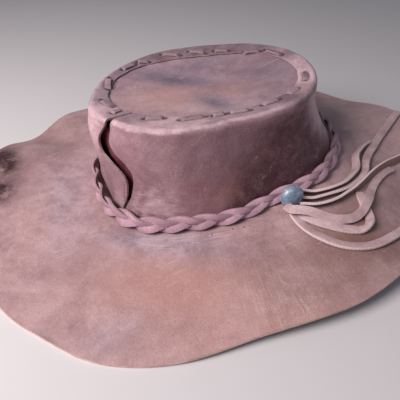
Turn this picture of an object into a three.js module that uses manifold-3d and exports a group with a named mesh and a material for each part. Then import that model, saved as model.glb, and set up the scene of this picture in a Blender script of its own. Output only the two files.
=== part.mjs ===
// Worn leather outback hat resting on its brim.
// Millimetres, +Z up, +X to the wearer's front, +Y to the wearer's left.
// The origin lies on the resting plane under the middle of the brim.
import * as THREE from 'three';
import { mergeVertices } from 'three/addons/utils/BufferGeometryUtils.js';
import Module from 'manifold-3d';

// ---------------------------------------------------------------- sizes
const LEATHER = 2.2;
const GAP = 0.5;
const AROUND = 72;

const RIM_HEIGHT = 92;
const RIM_SLOPE_FRONT = 0.045;
const RIM_SLOPE_LEFT = -0.02;
const RIM_CENTRE = -10.9;
const SHOULDER_RADIUS = 4.5;
const LIP_DROP = 1.6;
const WALL_LIFT = 3.2;

const COLLAR_LAP = 5.8;
const BRIM_SAG = 0.35;
const BRIM_ROWS = 6;

const SEAM_HEADING = -160;
const SEAM_REACH = 100;
const SEAM_CROWDING = 0.42;
const SEAM_BEND = 26;
const FLAP_PROUD = 2.8;
const FLAP_LOW = 6;
const FLAP_HIGH = 90;
const FLAP_TURN = 11;

const TOP_DISH = 4.0;
const TOP_MARGIN = 4.9;

const BAND_CLEAR = 0.5;

const BEAD_RADIUS = 9.5;
const BEAD_DEPTH = 6.4;
const BEAD_CENTRE = { x: 15.0, y: -96.6, z: 27.9 };
const BEAD_HEADING = -98;
const BEAD_TIP = 6;

const LACE_TUBE = 3.4;
const LACE_STEP = 10;

// The crown's own middle, from the middle of the brim's outline.
const CROWN_MIDDLE = { x: 3.2, y: 3.3 };

// ---------------------------------------------------------------- tables
// One row every 15 degrees from the wearer's back, over the wearer's right
// side to the front and on round the left side.
// foot: crown wall's outer face at its lower edge, from the origin
// rise: brim's top face where the crown stands on it
// hem:  crown wall's lower edge, over that
// rim:  crown's upper outline, from the rim centre
// lip:  inner edge of the leather folded over the top, from the rim centre
const CROWN = [
  { angle: -180, foot: 106.0, rise: 5.0, hem: 14.0, rim: 97.0, lip: 77.0 },
  { angle: -165, foot: 108.3, rise: 4.7, hem: 11.0, rim: 93.5, lip: 72.0 },
  { angle: -150, foot: 106.5, rise: 4.5, hem: 9.5, rim: 90.5, lip: 65.0 },
  { angle: -135, foot: 97.5, rise: 7.0, hem: 6.5, rim: 86.0, lip: 60.0 },
  { angle: -120, foot: 89.5, rise: 9.0, hem: 4.0, rim: 80.0, lip: 57.0 },
  { angle: -105, foot: 84.5, rise: 12.0, hem: 3.2, rim: 75.8, lip: 55.5 },
  { angle: -90, foot: 81.5, rise: 16.0, hem: 3.2, rim: 76.0, lip: 56.5 },
  { angle: -75, foot: 85.2, rise: 19.0, hem: 3.2, rim: 79.0, lip: 58.5 },
  { angle: -60, foot: 93.5, rise: 22.0, hem: 3.2, rim: 83.8, lip: 64.0 },
  { angle: -45, foot: 100.5, rise: 23.5, hem: 3.2, rim: 87.5, lip: 70.5 },
  { angle: -30, foot: 107.5, rise: 25.0, hem: 3.2, rim: 90.8, lip: 75.0 },
  { angle: -15, foot: 109.0, rise: 25.0, hem: 3.2, rim: 94.0, lip: 78.5 },
  { angle: 0, foot: 108.5, rise: 24.0, hem: 3.2, rim: 96.0, lip: 80.5 },
  { angle: 15, foot: 107.5, rise: 21.0, hem: 3.2, rim: 95.5, lip: 79.0 },
  { angle: 30, foot: 103.0, rise: 18.0, hem: 3.2, rim: 90.5, lip: 71.0 },
  { angle: 45, foot: 96.0, rise: 15.0, hem: 3.2, rim: 84.0, lip: 63.0 },
  { angle: 60, foot: 88.0, rise: 12.5, hem: 3.2, rim: 79.8, lip: 58.5 },
  { angle: 75, foot: 83.0, rise: 10.5, hem: 3.2, rim: 78.5, lip: 57.5 },
  { angle: 90, foot: 81.5, rise: 9.0, hem: 3.2, rim: 79.8, lip: 60.0 },
  { angle: 105, foot: 83.0, rise: 8.0, hem: 3.2, rim: 81.3, lip: 64.0 },
  { angle: 120, foot: 88.0, rise: 7.3, hem: 3.2, rim: 82.5, lip: 70.0 },
  { angle: 135, foot: 95.0, rise: 6.6, hem: 3.6, rim: 85.5, lip: 74.5 },
  { angle: 150, foot: 102.5, rise: 6.0, hem: 6.0, rim: 88.5, lip: 77.0 },
  { angle: 165, foot: 106.5, rise: 5.5, hem: 10.5, rim: 92.5, lip: 78.0 },
];

// How far the crown wall swells out (+) or is drawn in (-) of the straight
// line from foot to rim, at each part of its height, on its four sides.
const WALL_SWELL = [
  { part: 0.0, front: 0.0, left: 0.0, back: 0.0, right: 0.0 },
  { part: 0.2, front: -3.5, left: -0.8, back: -1.0, right: -1.2 },
  { part: 0.45, front: -6.5, left: -1.0, back: 0.5, right: -2.0 },
  { part: 0.7, front: -7.5, left: 0.0, back: 2.0, right: -1.8 },
  { part: 0.88, front: -5.0, left: 0.0, back: 1.6, right: -0.8 },
  { part: 1.0, front: 0.0, left: 0.0, back: 0.0, right: 0.0 },
];

// The brim's raw edge, in waves: reach from the origin, lift of the top face.
// A lift below the leather's thickness is pressed flat on the surface.
const BRIM_EDGE = [
  { angle: -180, reach: 216, lift: 7.5 },
  { angle: -158, reach: 218, lift: 2.6 },
  { angle: -148, reach: 215, lift: 1.2 },
  { angle: -138, reach: 214, lift: 1.2 },
  { angle: -125, reach: 203, lift: 3.7 },
  { angle: -112, reach: 189, lift: 8.0 },
  { angle: -101, reach: 186, lift: 11.2 },
  { angle: -88, reach: 188, lift: 13.2 },
  { angle: -74, reach: 189, lift: 13.8 },
  { angle: -60, reach: 191, lift: 8.0 },
  { angle: -48, reach: 195, lift: 1.6 },
  { angle: -38, reach: 200, lift: 2.5 },
  { angle: -26, reach: 206, lift: 12.0 },
  { angle: -14, reach: 211, lift: 21.0 },
  { angle: -3, reach: 210, lift: 20.5 },
  { angle: 5, reach: 209, lift: 11.5 },
  { angle: 12, reach: 210, lift: 3.0 },
  { angle: 19, reach: 213, lift: 1.2 },
  { angle: 27, reach: 211, lift: 2.4 },
  { angle: 42, reach: 202, lift: 8.0 },
  { angle: 60, reach: 190, lift: 11.0 },
  { angle: 80, reach: 183, lift: 8.0 },
  { angle: 100, reach: 181, lift: 3.0 },
  { angle: 114, reach: 186, lift: 1.4 },
  { angle: 122, reach: 193, lift: 5.5 },
  { angle: 130, reach: 192, lift: 4.0 },
  { angle: 139, reach: 193, lift: 1.8 },
  { angle: 147, reach: 205, lift: 12.5 },
  { angle: 157, reach: 212, lift: 15.0 },
  { angle: 168, reach: 215, lift: 12.5 },
];

// How the brim runs from the crown's foot to its edge: part of the way out,
// and part of the change in height that is done by then.
const BRIM_FALL = [
  { out: 0.0, fall: 0.0 },
  { out: 0.25, fall: 0.14 },
  { out: 0.5, fall: 0.45 },
  { out: 0.75, fall: 0.82 },
  { out: 0.9, fall: 0.97 },
  { out: 1.0, fall: 1.0 },
];

// The brim's inner margin turns up inside the crown wall as a collar. Middle
// of its leather: out of the wall's outer face, share of the collar's height
// and millimetres over the brim.
const COLLAR = [
  { out: -4.6, share: 1.0, over: 0.0 },
  { out: -4.2, share: 0.5, over: 0.0 },
  { out: -3.4, share: 0.1, over: 0.6 },
  { out: -1.0, share: 0.0, over: -0.4 },
  { out: 5.0, share: 0.0, over: -1.1 },
];

// Centre line of the open seam: height over the rest plane, how far it lies
// to the side of its heading, counted towards the right side, and its width.
const SEAM = [
  { height: -6, side: -2.0, width: 1.2 },
  { height: 8, side: -2.0, width: 1.2 },
  { height: 15, side: -1.4, width: 1.2 },
  { height: 22, side: 1.6, width: 1.4 },
  { height: 30, side: 5.5, width: 1.6 },
  { height: 38, side: 8.1, width: 2.0 },
  { height: 45, side: 9.2, width: 3.0 },
  { height: 51, side: 7.2, width: 4.8 },
  { height: 57, side: 0.0, width: 7.1 },
  { height: 63, side: -9.0, width: 9.0 },
  { height: 70, side: -12.7, width: 9.2 },
  { height: 77, side: -11.4, width: 7.6 },
  { height: 83, side: -9.2, width: 4.9 },
  { height: 88, side: -8.6, width: 2.4 },
  { height: 102, side: -8.6, width: 1.4 },
];

// The hatband: width and thickness, how far its lower edge kicks out, how far
// it stands off the crown wall, and how it rides up.
const BAND = [
  { angle: -180, wide: 14.0, thick: 5.4, kick: 5, off: 3.0, up: 0.0 },
  { angle: -170, wide: 14.0, thick: 5.4, kick: 5, off: 3.2, up: 0.0 },
  { angle: -160, wide: 14.0, thick: 5.4, kick: 5, off: 2.6, up: 0.0 },
  { angle: -150, wide: 13.5, thick: 5.4, kick: 6, off: 1.6, up: 0.0 },
  { angle: -135, wide: 13.0, thick: 5.4, kick: 9, off: 0.4, up: 0.0 },
  { angle: -120, wide: 12.0, thick: 5.4, kick: 14, off: 0.3, up: 0.0 },
  { angle: -105, wide: 11.0, thick: 5.2, kick: 24, off: 0.9, up: 0.0 },
  { angle: -90, wide: 10.5, thick: 4.4, kick: 30, off: 0.7, up: 0.0 },
  { angle: -80, wide: 10.5, thick: 4.0, kick: 30, off: 0.3, up: 0.0 },
  { angle: -70, wide: 10.5, thick: 4.4, kick: 30, off: 0.9, up: 0.0 },
  { angle: -60, wide: 11.0, thick: 5.2, kick: 26, off: 1.5, up: 0.0 },
  { angle: -45, wide: 11.0, thick: 5.4, kick: 20, off: 1.7, up: 0.4 },
  { angle: -30, wide: 11.5, thick: 5.4, kick: 12, off: 1.3, up: 0.8 },
  { angle: -15, wide: 12.5, thick: 5.4, kick: 8, off: 1.0, up: 1.2 },
  { angle: 20, wide: 13.5, thick: 5.4, kick: 5, off: 0.6, up: 0.8 },
  { angle: 90, wide: 13.5, thick: 5.4, kick: 5, off: 0.2, up: 0.4 },
  { angle: 155, wide: 14.0, thick: 5.4, kick: 5, off: 0.6, up: 0.4 },
  { angle: 170, wide: 14.0, thick: 5.4, kick: 5, off: 1.4, up: 0.2 },
];

// Routes of the six lace tails over the brim, middle of the lace: x, y, height.
const LACE_TAILS = [
  [
    [27.5, -92, 24.3], [32.5, -94, 22.8], [38, -96, 22], [44, -97.5, 22.3], [51, -98.7, 22.8],
    [59, -98.8, 22.8], [67, -98, 22.7], [75, -95.5, 22.4], [82, -92.5, 22.3], [89, -89, 22.4],
    [94.5, -84.5, 23], [98.5, -79, 23.9], [104, -73.5, 24.7], [111.5, -69.5, 24.7], [120, -65.5, 24.6],
    [128.5, -62.5, 24.2],
  ],
  [
    [26.5, -99, 22.1], [32, -101, 21.3], [39, -102.3, 21.7], [48, -103.2, 21.9], [57, -103.8, 22],
    [66, -103.3, 21.6], [75, -101.5, 21.4], [83.5, -99, 20.9], [91, -96, 20.9], [98.5, -91.5, 21.1],
    [105, -85, 22], [112, -79.5, 22.7], [120, -74, 23.2], [129, -69.5, 23.2], [138, -64.5, 23.2],
    [148, -59, 23.2], [158, -54, 23.4], [168, -49, 23.8], [178, -44, 23.9], [188, -39, 23.8],
    [196, -35, 23.9], [205.5, -30.7, 23.6],
  ],
  [
    [22.5, -103.5, 20.7], [30, -107.4, 20.4], [40, -109.6, 20.6], [50, -109.8, 20.9], [60, -108.8, 21],
    [70, -107.3, 20.7], [80, -104.6, 20.3], [90, -101.2, 19.6], [100, -97.6, 19], [110, -94.3, 18.5],
    [120, -91.7, 17.9], [130, -89.6, 17.2], [140, -88.4, 16.4], [150, -87, 15.6], [160, -84.5, 15.7],
    [170, -81.5, 16], [180, -78, 17.1],
  ],
  [
    [8.4, -105.2, 22.8], [13, -109.2, 23.5], [19, -113.6, 23.1], [25.5, -119, 21.1],
    [32, -124.6, 19.1], [39.5, -129.4, 18.9], [48, -131.4, 19], [57, -129.8, 20.5], [65, -126, 21.7],
    [73, -121.3, 21.4], [81, -115.7, 19.1], [88, -110.8, 17.4], [96, -105.8, 17.4], [104, -101.8, 17.1],
    [112, -98.6, 16.8], [121, -96, 16.4], [129.5, -94.6, 15.5],
  ],
  [
    [15.4, -107, 19.2], [16, -112, 19], [19.3, -118.5, 18.9], [24, -125.5, 18.8],
    [30, -132, 18.5], [37, -138, 18.1], [45, -142, 17.8], [52, -142, 17.1], [58, -139, 17],
    [62, -134.5, 17.1], [65, -129, 17.6], [68, -123.5, 18.1], [71.5, -117, 18.6], [74.8, -110.3, 19.7],
  ],
  [
    [11, -107, 18.9], [10.2, -112, 18.5], [10.2, -118, 18.2], [11.3, -125, 17.9],
    [14.3, -133.5, 17.7], [18.6, -141, 17.4], [24.5, -148, 17.2], [32, -153.3, 17.1], [41, -156.6, 16.7],
    [50, -157.6, 16.5], [60, -156.8, 15.3], [70, -155.4, 14.2], [80, -153.3, 12.5], [90, -150.6, 10.8],
    [100, -147.4, 8.9], [109, -143.8, 7.4], [117, -140, 6.1],
  ],
];

// ---------------------------------------------------------------- helpers
const radians = THREE.MathUtils.degToRad;
const degrees = THREE.MathUtils.radToDeg;
const clamp = THREE.MathUtils.clamp;
const lerp = THREE.MathUtils.lerp;

// A smooth value between rows of a table that closes on itself every turn.
function around(table, column, angle) {
  const count = table.length;
  const start = table[0].angle;
  const turn = (((angle - start) % 360) + 360) % 360;
  let row = count - 1;
  while (table[row].angle - start > turn) row -= 1;
  const at = (n) => {
    const lap = Math.floor(n / count);
    const entry = table[n - lap * count];
    return { angle: entry.angle - start + lap * 360, value: entry[column] };
  };
  return hermite(at(row - 1), at(row), at(row + 1), at(row + 2), turn);
}

function hermite(before, from, to, after, where) {
  const span = to.angle - from.angle;
  const t = (where - from.angle) / span;
  const slopeFrom = ((to.value - before.value) / (to.angle - before.angle)) * span;
  const slopeTo = ((after.value - from.value) / (after.angle - from.angle)) * span;
  const t2 = t * t;
  const t3 = t2 * t;
  return (2 * t3 - 3 * t2 + 1) * from.value + (t3 - 2 * t2 + t) * slopeFrom
    + (3 * t2 - 2 * t3) * to.value + (t3 - t2) * slopeTo;
}

// A smooth value between rows of a table with two ends.
function along(table, key, column, where) {
  const last = table.length - 1;
  let row = 0;
  while (row < last - 1 && table[row + 1][key] < where) row += 1;
  const at = (n) => {
    const entry = table[clamp(n, 0, last)];
    return { angle: entry[key] + Math.min(n, 0) + Math.max(n - last, 0), value: entry[column] };
  };
  return hermite(at(row - 1), at(row), at(row + 1), at(row + 2), where);
}

// Merges the shared corners and turns the faces outwards.
function closed(geometry) {
  geometry.deleteAttribute('normal');
  geometry.deleteAttribute('uv');
  const merged = mergeVertices(geometry, 1e-3);
  const points = merged.getAttribute('position');
  const index = Array.from(merged.getIndex().array);
  const kept = [];
  let volume = 0;
  const a = new THREE.Vector3();
  const b = new THREE.Vector3();
  const c = new THREE.Vector3();
  for (let i = 0; i < index.length; i += 3) {
    const [p, q, r] = [index[i], index[i + 1], index[i + 2]];
    if (p === q || q === r || r === p) continue;
    kept.push(p, q, r);
    a.fromBufferAttribute(points, p);
    b.fromBufferAttribute(points, q);
    c.fromBufferAttribute(points, r);
    volume += a.dot(b.cross(c));
  }
  if (volume < 0) {
    for (let i = 0; i < kept.length; i += 3) {
      const swap = kept[i];
      kept[i] = kept[i + 1];
      kept[i + 1] = swap;
    }
  }
  merged.setIndex(kept);
  return merged;
}

// Turning steps lie closer together near the seam, which falls between two.
const HALF_STEP = Math.PI / AROUND;
const spread = (turn) => degrees(turn - SEAM_CROWDING * Math.sin(turn - radians(SEAM_HEADING)));

// The turned body is drawn with its rows evenly up the axis, then each corner
// is carried to its place on the leather: half the thickness off the middle.
function wall(rows, thickness, middle) {
  const profile = [];
  for (let i = 0; i <= rows; i += 1) profile.push(new THREE.Vector2(2, i / rows));
  for (let i = rows; i >= 0; i -= 1) profile.push(new THREE.Vector2(1, i / rows));
  profile.push(new THREE.Vector2(2, 0));
  const geometry = new THREE.LatheGeometry(profile, AROUND, HALF_STEP);
  const place = geometry.getAttribute('position');
  const corner = new THREE.Vector3();
  for (let i = 0; i < place.count; i += 1) {
    corner.fromBufferAttribute(place, i);
    const turn = Math.atan2(corner.x, corner.z);
    const row = corner.y;
    const side = Math.hypot(corner.x, corner.z) > 1.5 ? 0.5 : -0.5;
    const angle = spread(turn);
    const p = middle(angle, row);
    const tangent = middle(angle + 0.5, row).sub(middle(angle - 0.5, row));
    const rise = middle(angle, Math.min(row + 0.004, 1)).sub(middle(angle, Math.max(row - 0.004, 0)));
    const normal = tangent.cross(rise).normalize();
    p.addScaledVector(normal, side * thickness);
    place.setXYZ(i, p.x, p.y, p.z);
  }
  return closed(geometry);
}

const polar = (reach, angle, height, centre = 0) => new THREE.Vector3(
  centre + reach * Math.cos(radians(angle)),
  reach * Math.sin(radians(angle)),
  height,
);

// ---------------------------------------------------------------- crown
function rimHeight(point) {
  return RIM_HEIGHT + RIM_SLOPE_FRONT * point.x + RIM_SLOPE_LEFT * point.y;
}

function swell(angle, part) {
  const front = Math.max(Math.cos(radians(angle)), 0) ** 2;
  const back = Math.max(-Math.cos(radians(angle)), 0) ** 2;
  const left = Math.max(Math.sin(radians(angle)), 0) ** 2;
  const right = Math.max(-Math.sin(radians(angle)), 0) ** 2;
  const bulge = (column) => along(WALL_SWELL, 'part', column, part);
  return front * bulge('front') + back * bulge('back') + left * bulge('left') + right * bulge('right');
}

// Side offset of the seam at a height, as an angle round the crown.
function seamAngle(height) {
  const side = along(SEAM, 'height', 'side', clamp(height, -4, 100));
  return SEAM_HEADING + degrees(side / SEAM_REACH);
}

// The flap behind the seam stands a little proud, the other end lies in.
function flap(angle, height) {
  const off = ((angle - seamAngle(height) + 540) % 360) - 180;
  const fade = Math.sin(Math.PI * clamp((height - FLAP_LOW) / (FLAP_HIGH - FLAP_LOW), 0, 1));
  const side = off < 0 ? 1 : -0.4;
  return side * FLAP_PROUD * fade * Math.exp(-((off / FLAP_TURN) ** 2));
}

// Outer face of the crown wall at a part of its height.
function wallFace(angle, part) {
  const foot = polar(around(CROWN, 'foot', angle), angle, around(CROWN, 'rise', angle) + WALL_LIFT);
  const rim = polar(around(CROWN, 'rim', angle), angle, 0, RIM_CENTRE);
  rim.z = rimHeight(rim) - SHOULDER_RADIUS;
  const face = foot.lerp(rim, part);
  const out = polar(1, angle, 0);
  return face.addScaledVector(out, swell(angle, part) + flap(angle, face.z));
}

const WALL_PART = 0.62;
const SHOULDER_PART = 0.23;

// The crown side's columns bend with the seam, so that its ends stay clean.
function followSeam(angle, row) {
  const low = around(CROWN, 'rise', SEAM_HEADING) + around(CROWN, 'hem', SEAM_HEADING);
  const height = lerp(low, wallFace(SEAM_HEADING, 1).z, clamp(row / WALL_PART, 0, 1));
  const off = ((angle - SEAM_HEADING + 540) % 360) - 180;
  return angle + (seamAngle(height) - SEAM_HEADING) * Math.exp(-((off / SEAM_BEND) ** 2));
}

// Middle of the crown side's leather: up the wall, over the shoulder, inwards.
function crownMiddle(column, row) {
  const angle = followSeam(column, row);
  const half = LEATHER / 2;
  const out = polar(1, angle, 0);
  if (row <= WALL_PART) {
    const raised = around(CROWN, 'hem', angle) - WALL_LIFT;
    const low = raised / (RIM_HEIGHT - around(CROWN, 'rise', angle));
    return wallFace(angle, lerp(low, 1, row / WALL_PART)).addScaledVector(out, -half);
  }
  const shoulder = wallFace(angle, 1);
  const bend = SHOULDER_RADIUS - half;
  const turn = clamp((row - WALL_PART) / SHOULDER_PART, 0, 1) * (Math.PI / 2);
  const inward = half + bend * (1 - Math.cos(turn));
  const upward = bend * Math.sin(turn);
  const bent = shoulder.clone().addScaledVector(out, -inward);
  bent.z += upward;
  if (row <= WALL_PART + SHOULDER_PART) return bent;
  const flat = (row - WALL_PART - SHOULDER_PART) / (1 - WALL_PART - SHOULDER_PART);
  const lip = polar(around(CROWN, 'lip', angle), angle, 0, RIM_CENTRE);
  lip.z = rimHeight(lip) - half - LIP_DROP;
  return bent.lerp(lip, flat);
}

// ---------------------------------------------------------------- brim
function brimMiddle(angle, row) {
  const half = LEATHER / 2;
  const foot = around(CROWN, 'foot', angle);
  const rise = around(CROWN, 'rise', angle);
  const reach = around(BRIM_EDGE, 'reach', angle);
  const lift = around(BRIM_EDGE, 'lift', angle);
  const bends = COLLAR.length - 1;
  const step = row * (bends + BRIM_ROWS);
  if (step <= bends) {
    const n = Math.min(Math.floor(step), bends - 1);
    const bend = (column) => lerp(COLLAR[n][column], COLLAR[n + 1][column], step - n);
    const top = around(CROWN, 'hem', angle) + COLLAR_LAP;
    const over = bend('share') * top + bend('over');
    const face = wallFace(angle, Math.max(over - WALL_LIFT, 0) / (RIM_HEIGHT - rise));
    return polar(Math.hypot(face.x, face.y) + bend('out'), angle, Math.max(rise + over, half));
  }
  const inner = foot + COLLAR[bends].out;
  const way = (step - bends) / BRIM_ROWS;
  const fall = along(BRIM_FALL, 'out', 'fall', way);
  const from = rise + COLLAR[bends].over;
  const height = lerp(from, lift - half, fall) - BRIM_SAG * Math.sin(Math.PI * way);
  return polar(lerp(inner, reach, way), angle, Math.max(height, half));
}

// ---------------------------------------------------------------- crown top
// A dished disc under the folded rim: three steps out to the rim's inner edge
// and two more beneath it.
const TOP_RINGS = [
  { part: 0.0, inside: 0.0, beneath: 0 },
  { part: 0.2, inside: 0.35, beneath: 0 },
  { part: 0.4, inside: 0.7, beneath: 0 },
  { part: 0.6, inside: 1.0, beneath: 0 },
  { part: 0.8, inside: 1.0, beneath: 0.5 },
  { part: 1.0, inside: 1.0, beneath: 1.0 },
];

function crownTop() {
  const rings = TOP_RINGS.map((ring) => ring.part);
  const profile = rings.map((part) => new THREE.Vector2(part, 1));
  rings.reverse().forEach((part) => profile.push(new THREE.Vector2(part, 0)));
  const geometry = new THREE.LatheGeometry(profile, AROUND, HALF_STEP);
  const place = geometry.getAttribute('position');
  for (let i = 0; i < place.count; i += 1) {
    const turn = Math.atan2(place.getX(i), place.getZ(i));
    const part = Math.hypot(place.getX(i), place.getZ(i));
    const angle = spread(turn);
    const lip = around(CROWN, 'lip', angle);
    const edge = around(CROWN, 'rim', angle) - TOP_MARGIN;
    const ring = TOP_RINGS[Math.round(part * 5)];
    const p = polar(ring.inside * lip + ring.beneath * (edge - lip), angle, 0, RIM_CENTRE);
    const dish = TOP_DISH * (1 - ring.inside ** 2);
    const under = LIP_DROP * (1 - ring.beneath);
    p.z = rimHeight(p) - LEATHER - GAP - under - dish - LEATHER * (1 - place.getY(i));
    place.setXYZ(i, p.x, p.y, p.z);
  }
  return closed(geometry);
}

// ---------------------------------------------------------------- seam cut
// The open seam is a band of varying width, drawn on a plane that faces the
// seam's heading and pushed inwards through the wall and the folded rim.
function seamCutter() {
  const from = SEAM[0].height;
  const to = SEAM[SEAM.length - 1].height;
  const steps = 34;
  const near = [];
  const far = [];
  for (let i = 0; i <= steps; i += 1) {
    const height = lerp(from, to, i / steps);
    const side = along(SEAM, 'height', 'side', height);
    const slope = along(SEAM, 'height', 'side', Math.min(height + 0.5, to))
      - along(SEAM, 'height', 'side', Math.max(height - 0.5, from));
    const half = along(SEAM, 'height', 'width', height) / 2;
    const run = Math.hypot(1, slope);
    near.push(new THREE.Vector2(side - half / run, height + (half * slope) / run));
    far.push(new THREE.Vector2(side + half / run, height - (half * slope) / run));
  }
  const outline = new THREE.Shape(near.concat(far.reverse()));
  const band = new THREE.ExtrudeGeometry(outline, { depth: 70, bevelEnabled: false });
  const heading = radians(SEAM_HEADING);
  const sideways = new THREE.Vector3(-Math.sin(heading), Math.cos(heading), 0);
  const upwards = new THREE.Vector3(0, 0, 1);
  const outwards = new THREE.Vector3(Math.cos(heading), Math.sin(heading), 0);
  const frame = new THREE.Matrix4().makeBasis(sideways, upwards, outwards);
  frame.setPosition(outwards.clone().multiplyScalar(58));
  band.applyMatrix4(frame);
  return closed(band);
}

// ---------------------------------------------------------------- hatband
// The three-strand braid as one closed ring of its outer form, its section
// leaning against the crown wall.
function hatband(around_) {
  const side = [[0.62, 1], [1, 0.35], [1, -0.35], [0.62, -1]];
  const section = side.concat(side.map(([a, t]) => [-a, -t]));
  const profile = section.map(([a, t]) => new THREE.Vector2(10 + t, a));
  profile.push(profile[0].clone());
  const geometry = new THREE.LatheGeometry(profile, around_);
  const place = geometry.getAttribute('position');
  for (let i = 0; i < place.count; i += 1) {
    const angle = degrees(Math.atan2(place.getX(i), place.getZ(i)));
    const thick = around(BAND, 'thick', angle) / 2;
    const through = (Math.hypot(place.getX(i), place.getZ(i)) - 10) * thick;
    const wide = around(BAND, 'wide', angle);
    const across = place.getY(i) * wide / 2;
    const foot = around(CROWN, 'foot', angle);
    const rise = around(CROWN, 'rise', angle);
    const top = wallFace(angle, (wide - WALL_LIFT) / (RIM_HEIGHT - rise));
    const drawn = Math.hypot(top.x, top.y) - foot;
    const lean = Math.atan2(-drawn, wide) + radians(around(BAND, 'kick', angle));
    const centre = drawn + wide / 2 * Math.sin(lean) + thick * Math.cos(lean)
      + BAND_CLEAR + around(BAND, 'off', angle);
    const over = wide / 2 * Math.cos(lean) + 0.7 * thick * Math.sin(lean)
      + 2 * BAND_CLEAR + around(BAND, 'up', angle);
    const out = centre - across * Math.sin(lean) + through * Math.cos(lean);
    const up = over + across * Math.cos(lean) + through * Math.sin(lean);
    const p = polar(foot + out, angle, rise + up);
    place.setXYZ(i, p.x, p.y, p.z);
  }
  return closed(geometry);
}

// ---------------------------------------------------------------- bead
function bead() {
  const dome = new THREE.SphereGeometry(1, 20, 12);
  dome.scale(BEAD_RADIUS, BEAD_RADIUS, BEAD_DEPTH);
  dome.rotateX(radians(90 - BEAD_TIP));
  dome.rotateZ(radians(BEAD_HEADING + 90));
  dome.translate(BEAD_CENTRE.x, BEAD_CENTRE.y, BEAD_CENTRE.z);
  return closed(dome);
}

// ---------------------------------------------------------------- lace tails
// Each tail lies loose on the brim, as a plain tube along the lace's middle.
function laceTail(route) {
  const points = route.map(([x, y, z]) => new THREE.Vector3(x, y, z));
  const path = new THREE.CatmullRomCurve3(points, false, 'centripetal');
  const section = new THREE.Shape();
  section.absarc(0, 0, LACE_TUBE / 2, 0, 2 * Math.PI);
  const steps = Math.round(path.getLength() / LACE_STEP);
  const options = { steps, curveSegments: 8, extrudePath: path, bevelEnabled: false };
  return closed(new THREE.ExtrudeGeometry(section, options));
}

// ---------------------------------------------------------------- materials
const finish = (name, color, roughness) => (
  new THREE.MeshStandardMaterial({ name, color, roughness, metalness: 0 })
);

const group = new THREE.Group();
const hat = new THREE.Group();
group.add(hat);

function add(name, geometry, material) {
  const mesh = new THREE.Mesh(geometry, material);
  mesh.name = name;
  hat.add(mesh);
}

// ---------------------------------------------------------------- solids
const wasm = await Module();
wasm.setup();

function toSolid(geometry) {
  return new wasm.Manifold(new wasm.Mesh({
    numProp: 3,
    vertProperties: Float32Array.from(geometry.getAttribute('position').array),
    triVerts: Uint32Array.from(geometry.getIndex().array),
  }));
}

function toGeometry(solid) {
  const mesh = solid.getMesh();
  const geometry = new THREE.BufferGeometry();
  geometry.setAttribute('position', new THREE.BufferAttribute(mesh.vertProperties, 3));
  geometry.setIndex(new THREE.BufferAttribute(mesh.triVerts, 1));
  return geometry;
}

// ---------------------------------------------------------------- the hat
const crownWrap = toSolid(wall(13, LEATHER, crownMiddle));
const crownSide = toGeometry(crownWrap.subtract(toSolid(seamCutter())));

const brimRows = BRIM_ROWS + COLLAR.length - 1;
add('brim', wall(brimRows, LEATHER, brimMiddle), finish('brim_leather', '#b3897c', 0.62));
add('crown_side', crownSide, finish('crown_leather', '#a07a74', 0.6));
add('crown_top', crownTop(), finish('top_leather', '#a0817f', 0.6));
add('hatband', hatband(72), finish('lace_leather', '#b98f8c', 0.7));
add('bead', bead(), finish('bead_glaze', '#6f8796', 0.3));
LACE_TAILS.forEach((route, i) => {
  add(`lace_tail_${i + 1}`, laceTail(route), finish(`tail_leather_${i + 1}`, '#b3918b', 0.7));
});
hat.position.set(CROWN_MIDDLE.x, CROWN_MIDDLE.y, 0);

export default group;
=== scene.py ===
import math

import bmesh
import bpy
import numpy as np
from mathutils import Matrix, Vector, noise
from mathutils.bvhtree import BVHTree


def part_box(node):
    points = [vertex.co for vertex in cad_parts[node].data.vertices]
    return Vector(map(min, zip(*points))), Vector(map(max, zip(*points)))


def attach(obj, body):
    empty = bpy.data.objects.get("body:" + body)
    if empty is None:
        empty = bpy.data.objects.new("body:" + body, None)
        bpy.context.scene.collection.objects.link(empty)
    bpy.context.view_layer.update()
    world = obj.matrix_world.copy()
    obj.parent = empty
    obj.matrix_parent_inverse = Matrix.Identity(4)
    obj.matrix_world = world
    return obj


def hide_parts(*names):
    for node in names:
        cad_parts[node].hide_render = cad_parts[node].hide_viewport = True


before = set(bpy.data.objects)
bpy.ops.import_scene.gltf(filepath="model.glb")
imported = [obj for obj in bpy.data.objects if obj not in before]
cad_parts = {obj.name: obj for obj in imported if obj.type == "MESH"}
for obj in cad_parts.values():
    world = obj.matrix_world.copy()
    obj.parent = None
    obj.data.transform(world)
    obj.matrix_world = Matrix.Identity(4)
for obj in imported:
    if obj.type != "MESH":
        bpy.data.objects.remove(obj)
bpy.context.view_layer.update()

# ---------------------------------------------------------------- studio
# The hat lies on a plain pale table. One soft lamp stands close behind the hat's
# back and above it, and a weak one further off at its front right; the room
# itself gives a little light.
TABLE_SIZE, TABLE_WHITE, TABLE_ROUGHNESS = 4.0, "#c9c8cb", 0.85
ROOM_TINT, ROOM_STRENGTH = "#e8ecf5", 0.20
CAMERA_FROM, CAMERA_TO = (-0.1550, -0.2725, 0.2259), (-0.0538, -0.0772, 0.0400)
LAMPS_AIM = (0, 0, 0.04)
LAMPS = [
    {"name": "key_lamp", "from": (-0.626, -0.088, 0.610), "size": 0.46, "watts": 9.3, "tint": "#fff3f0"},
    {"name": "fill_lamp", "from": (0.60, -1.30, 1.10), "size": 1.60, "watts": 2.2, "tint": "#e9e9ff"},
]


def colour(code):
    """The linear values of an sRGB hex colour."""
    parts = [int(code[i:i + 2], 16) / 255 for i in (1, 3, 5)]
    return [p / 12.92 if p <= 0.04045 else ((p + 0.055) / 1.055) ** 2.4 for p in parts] + [1.0]


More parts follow.
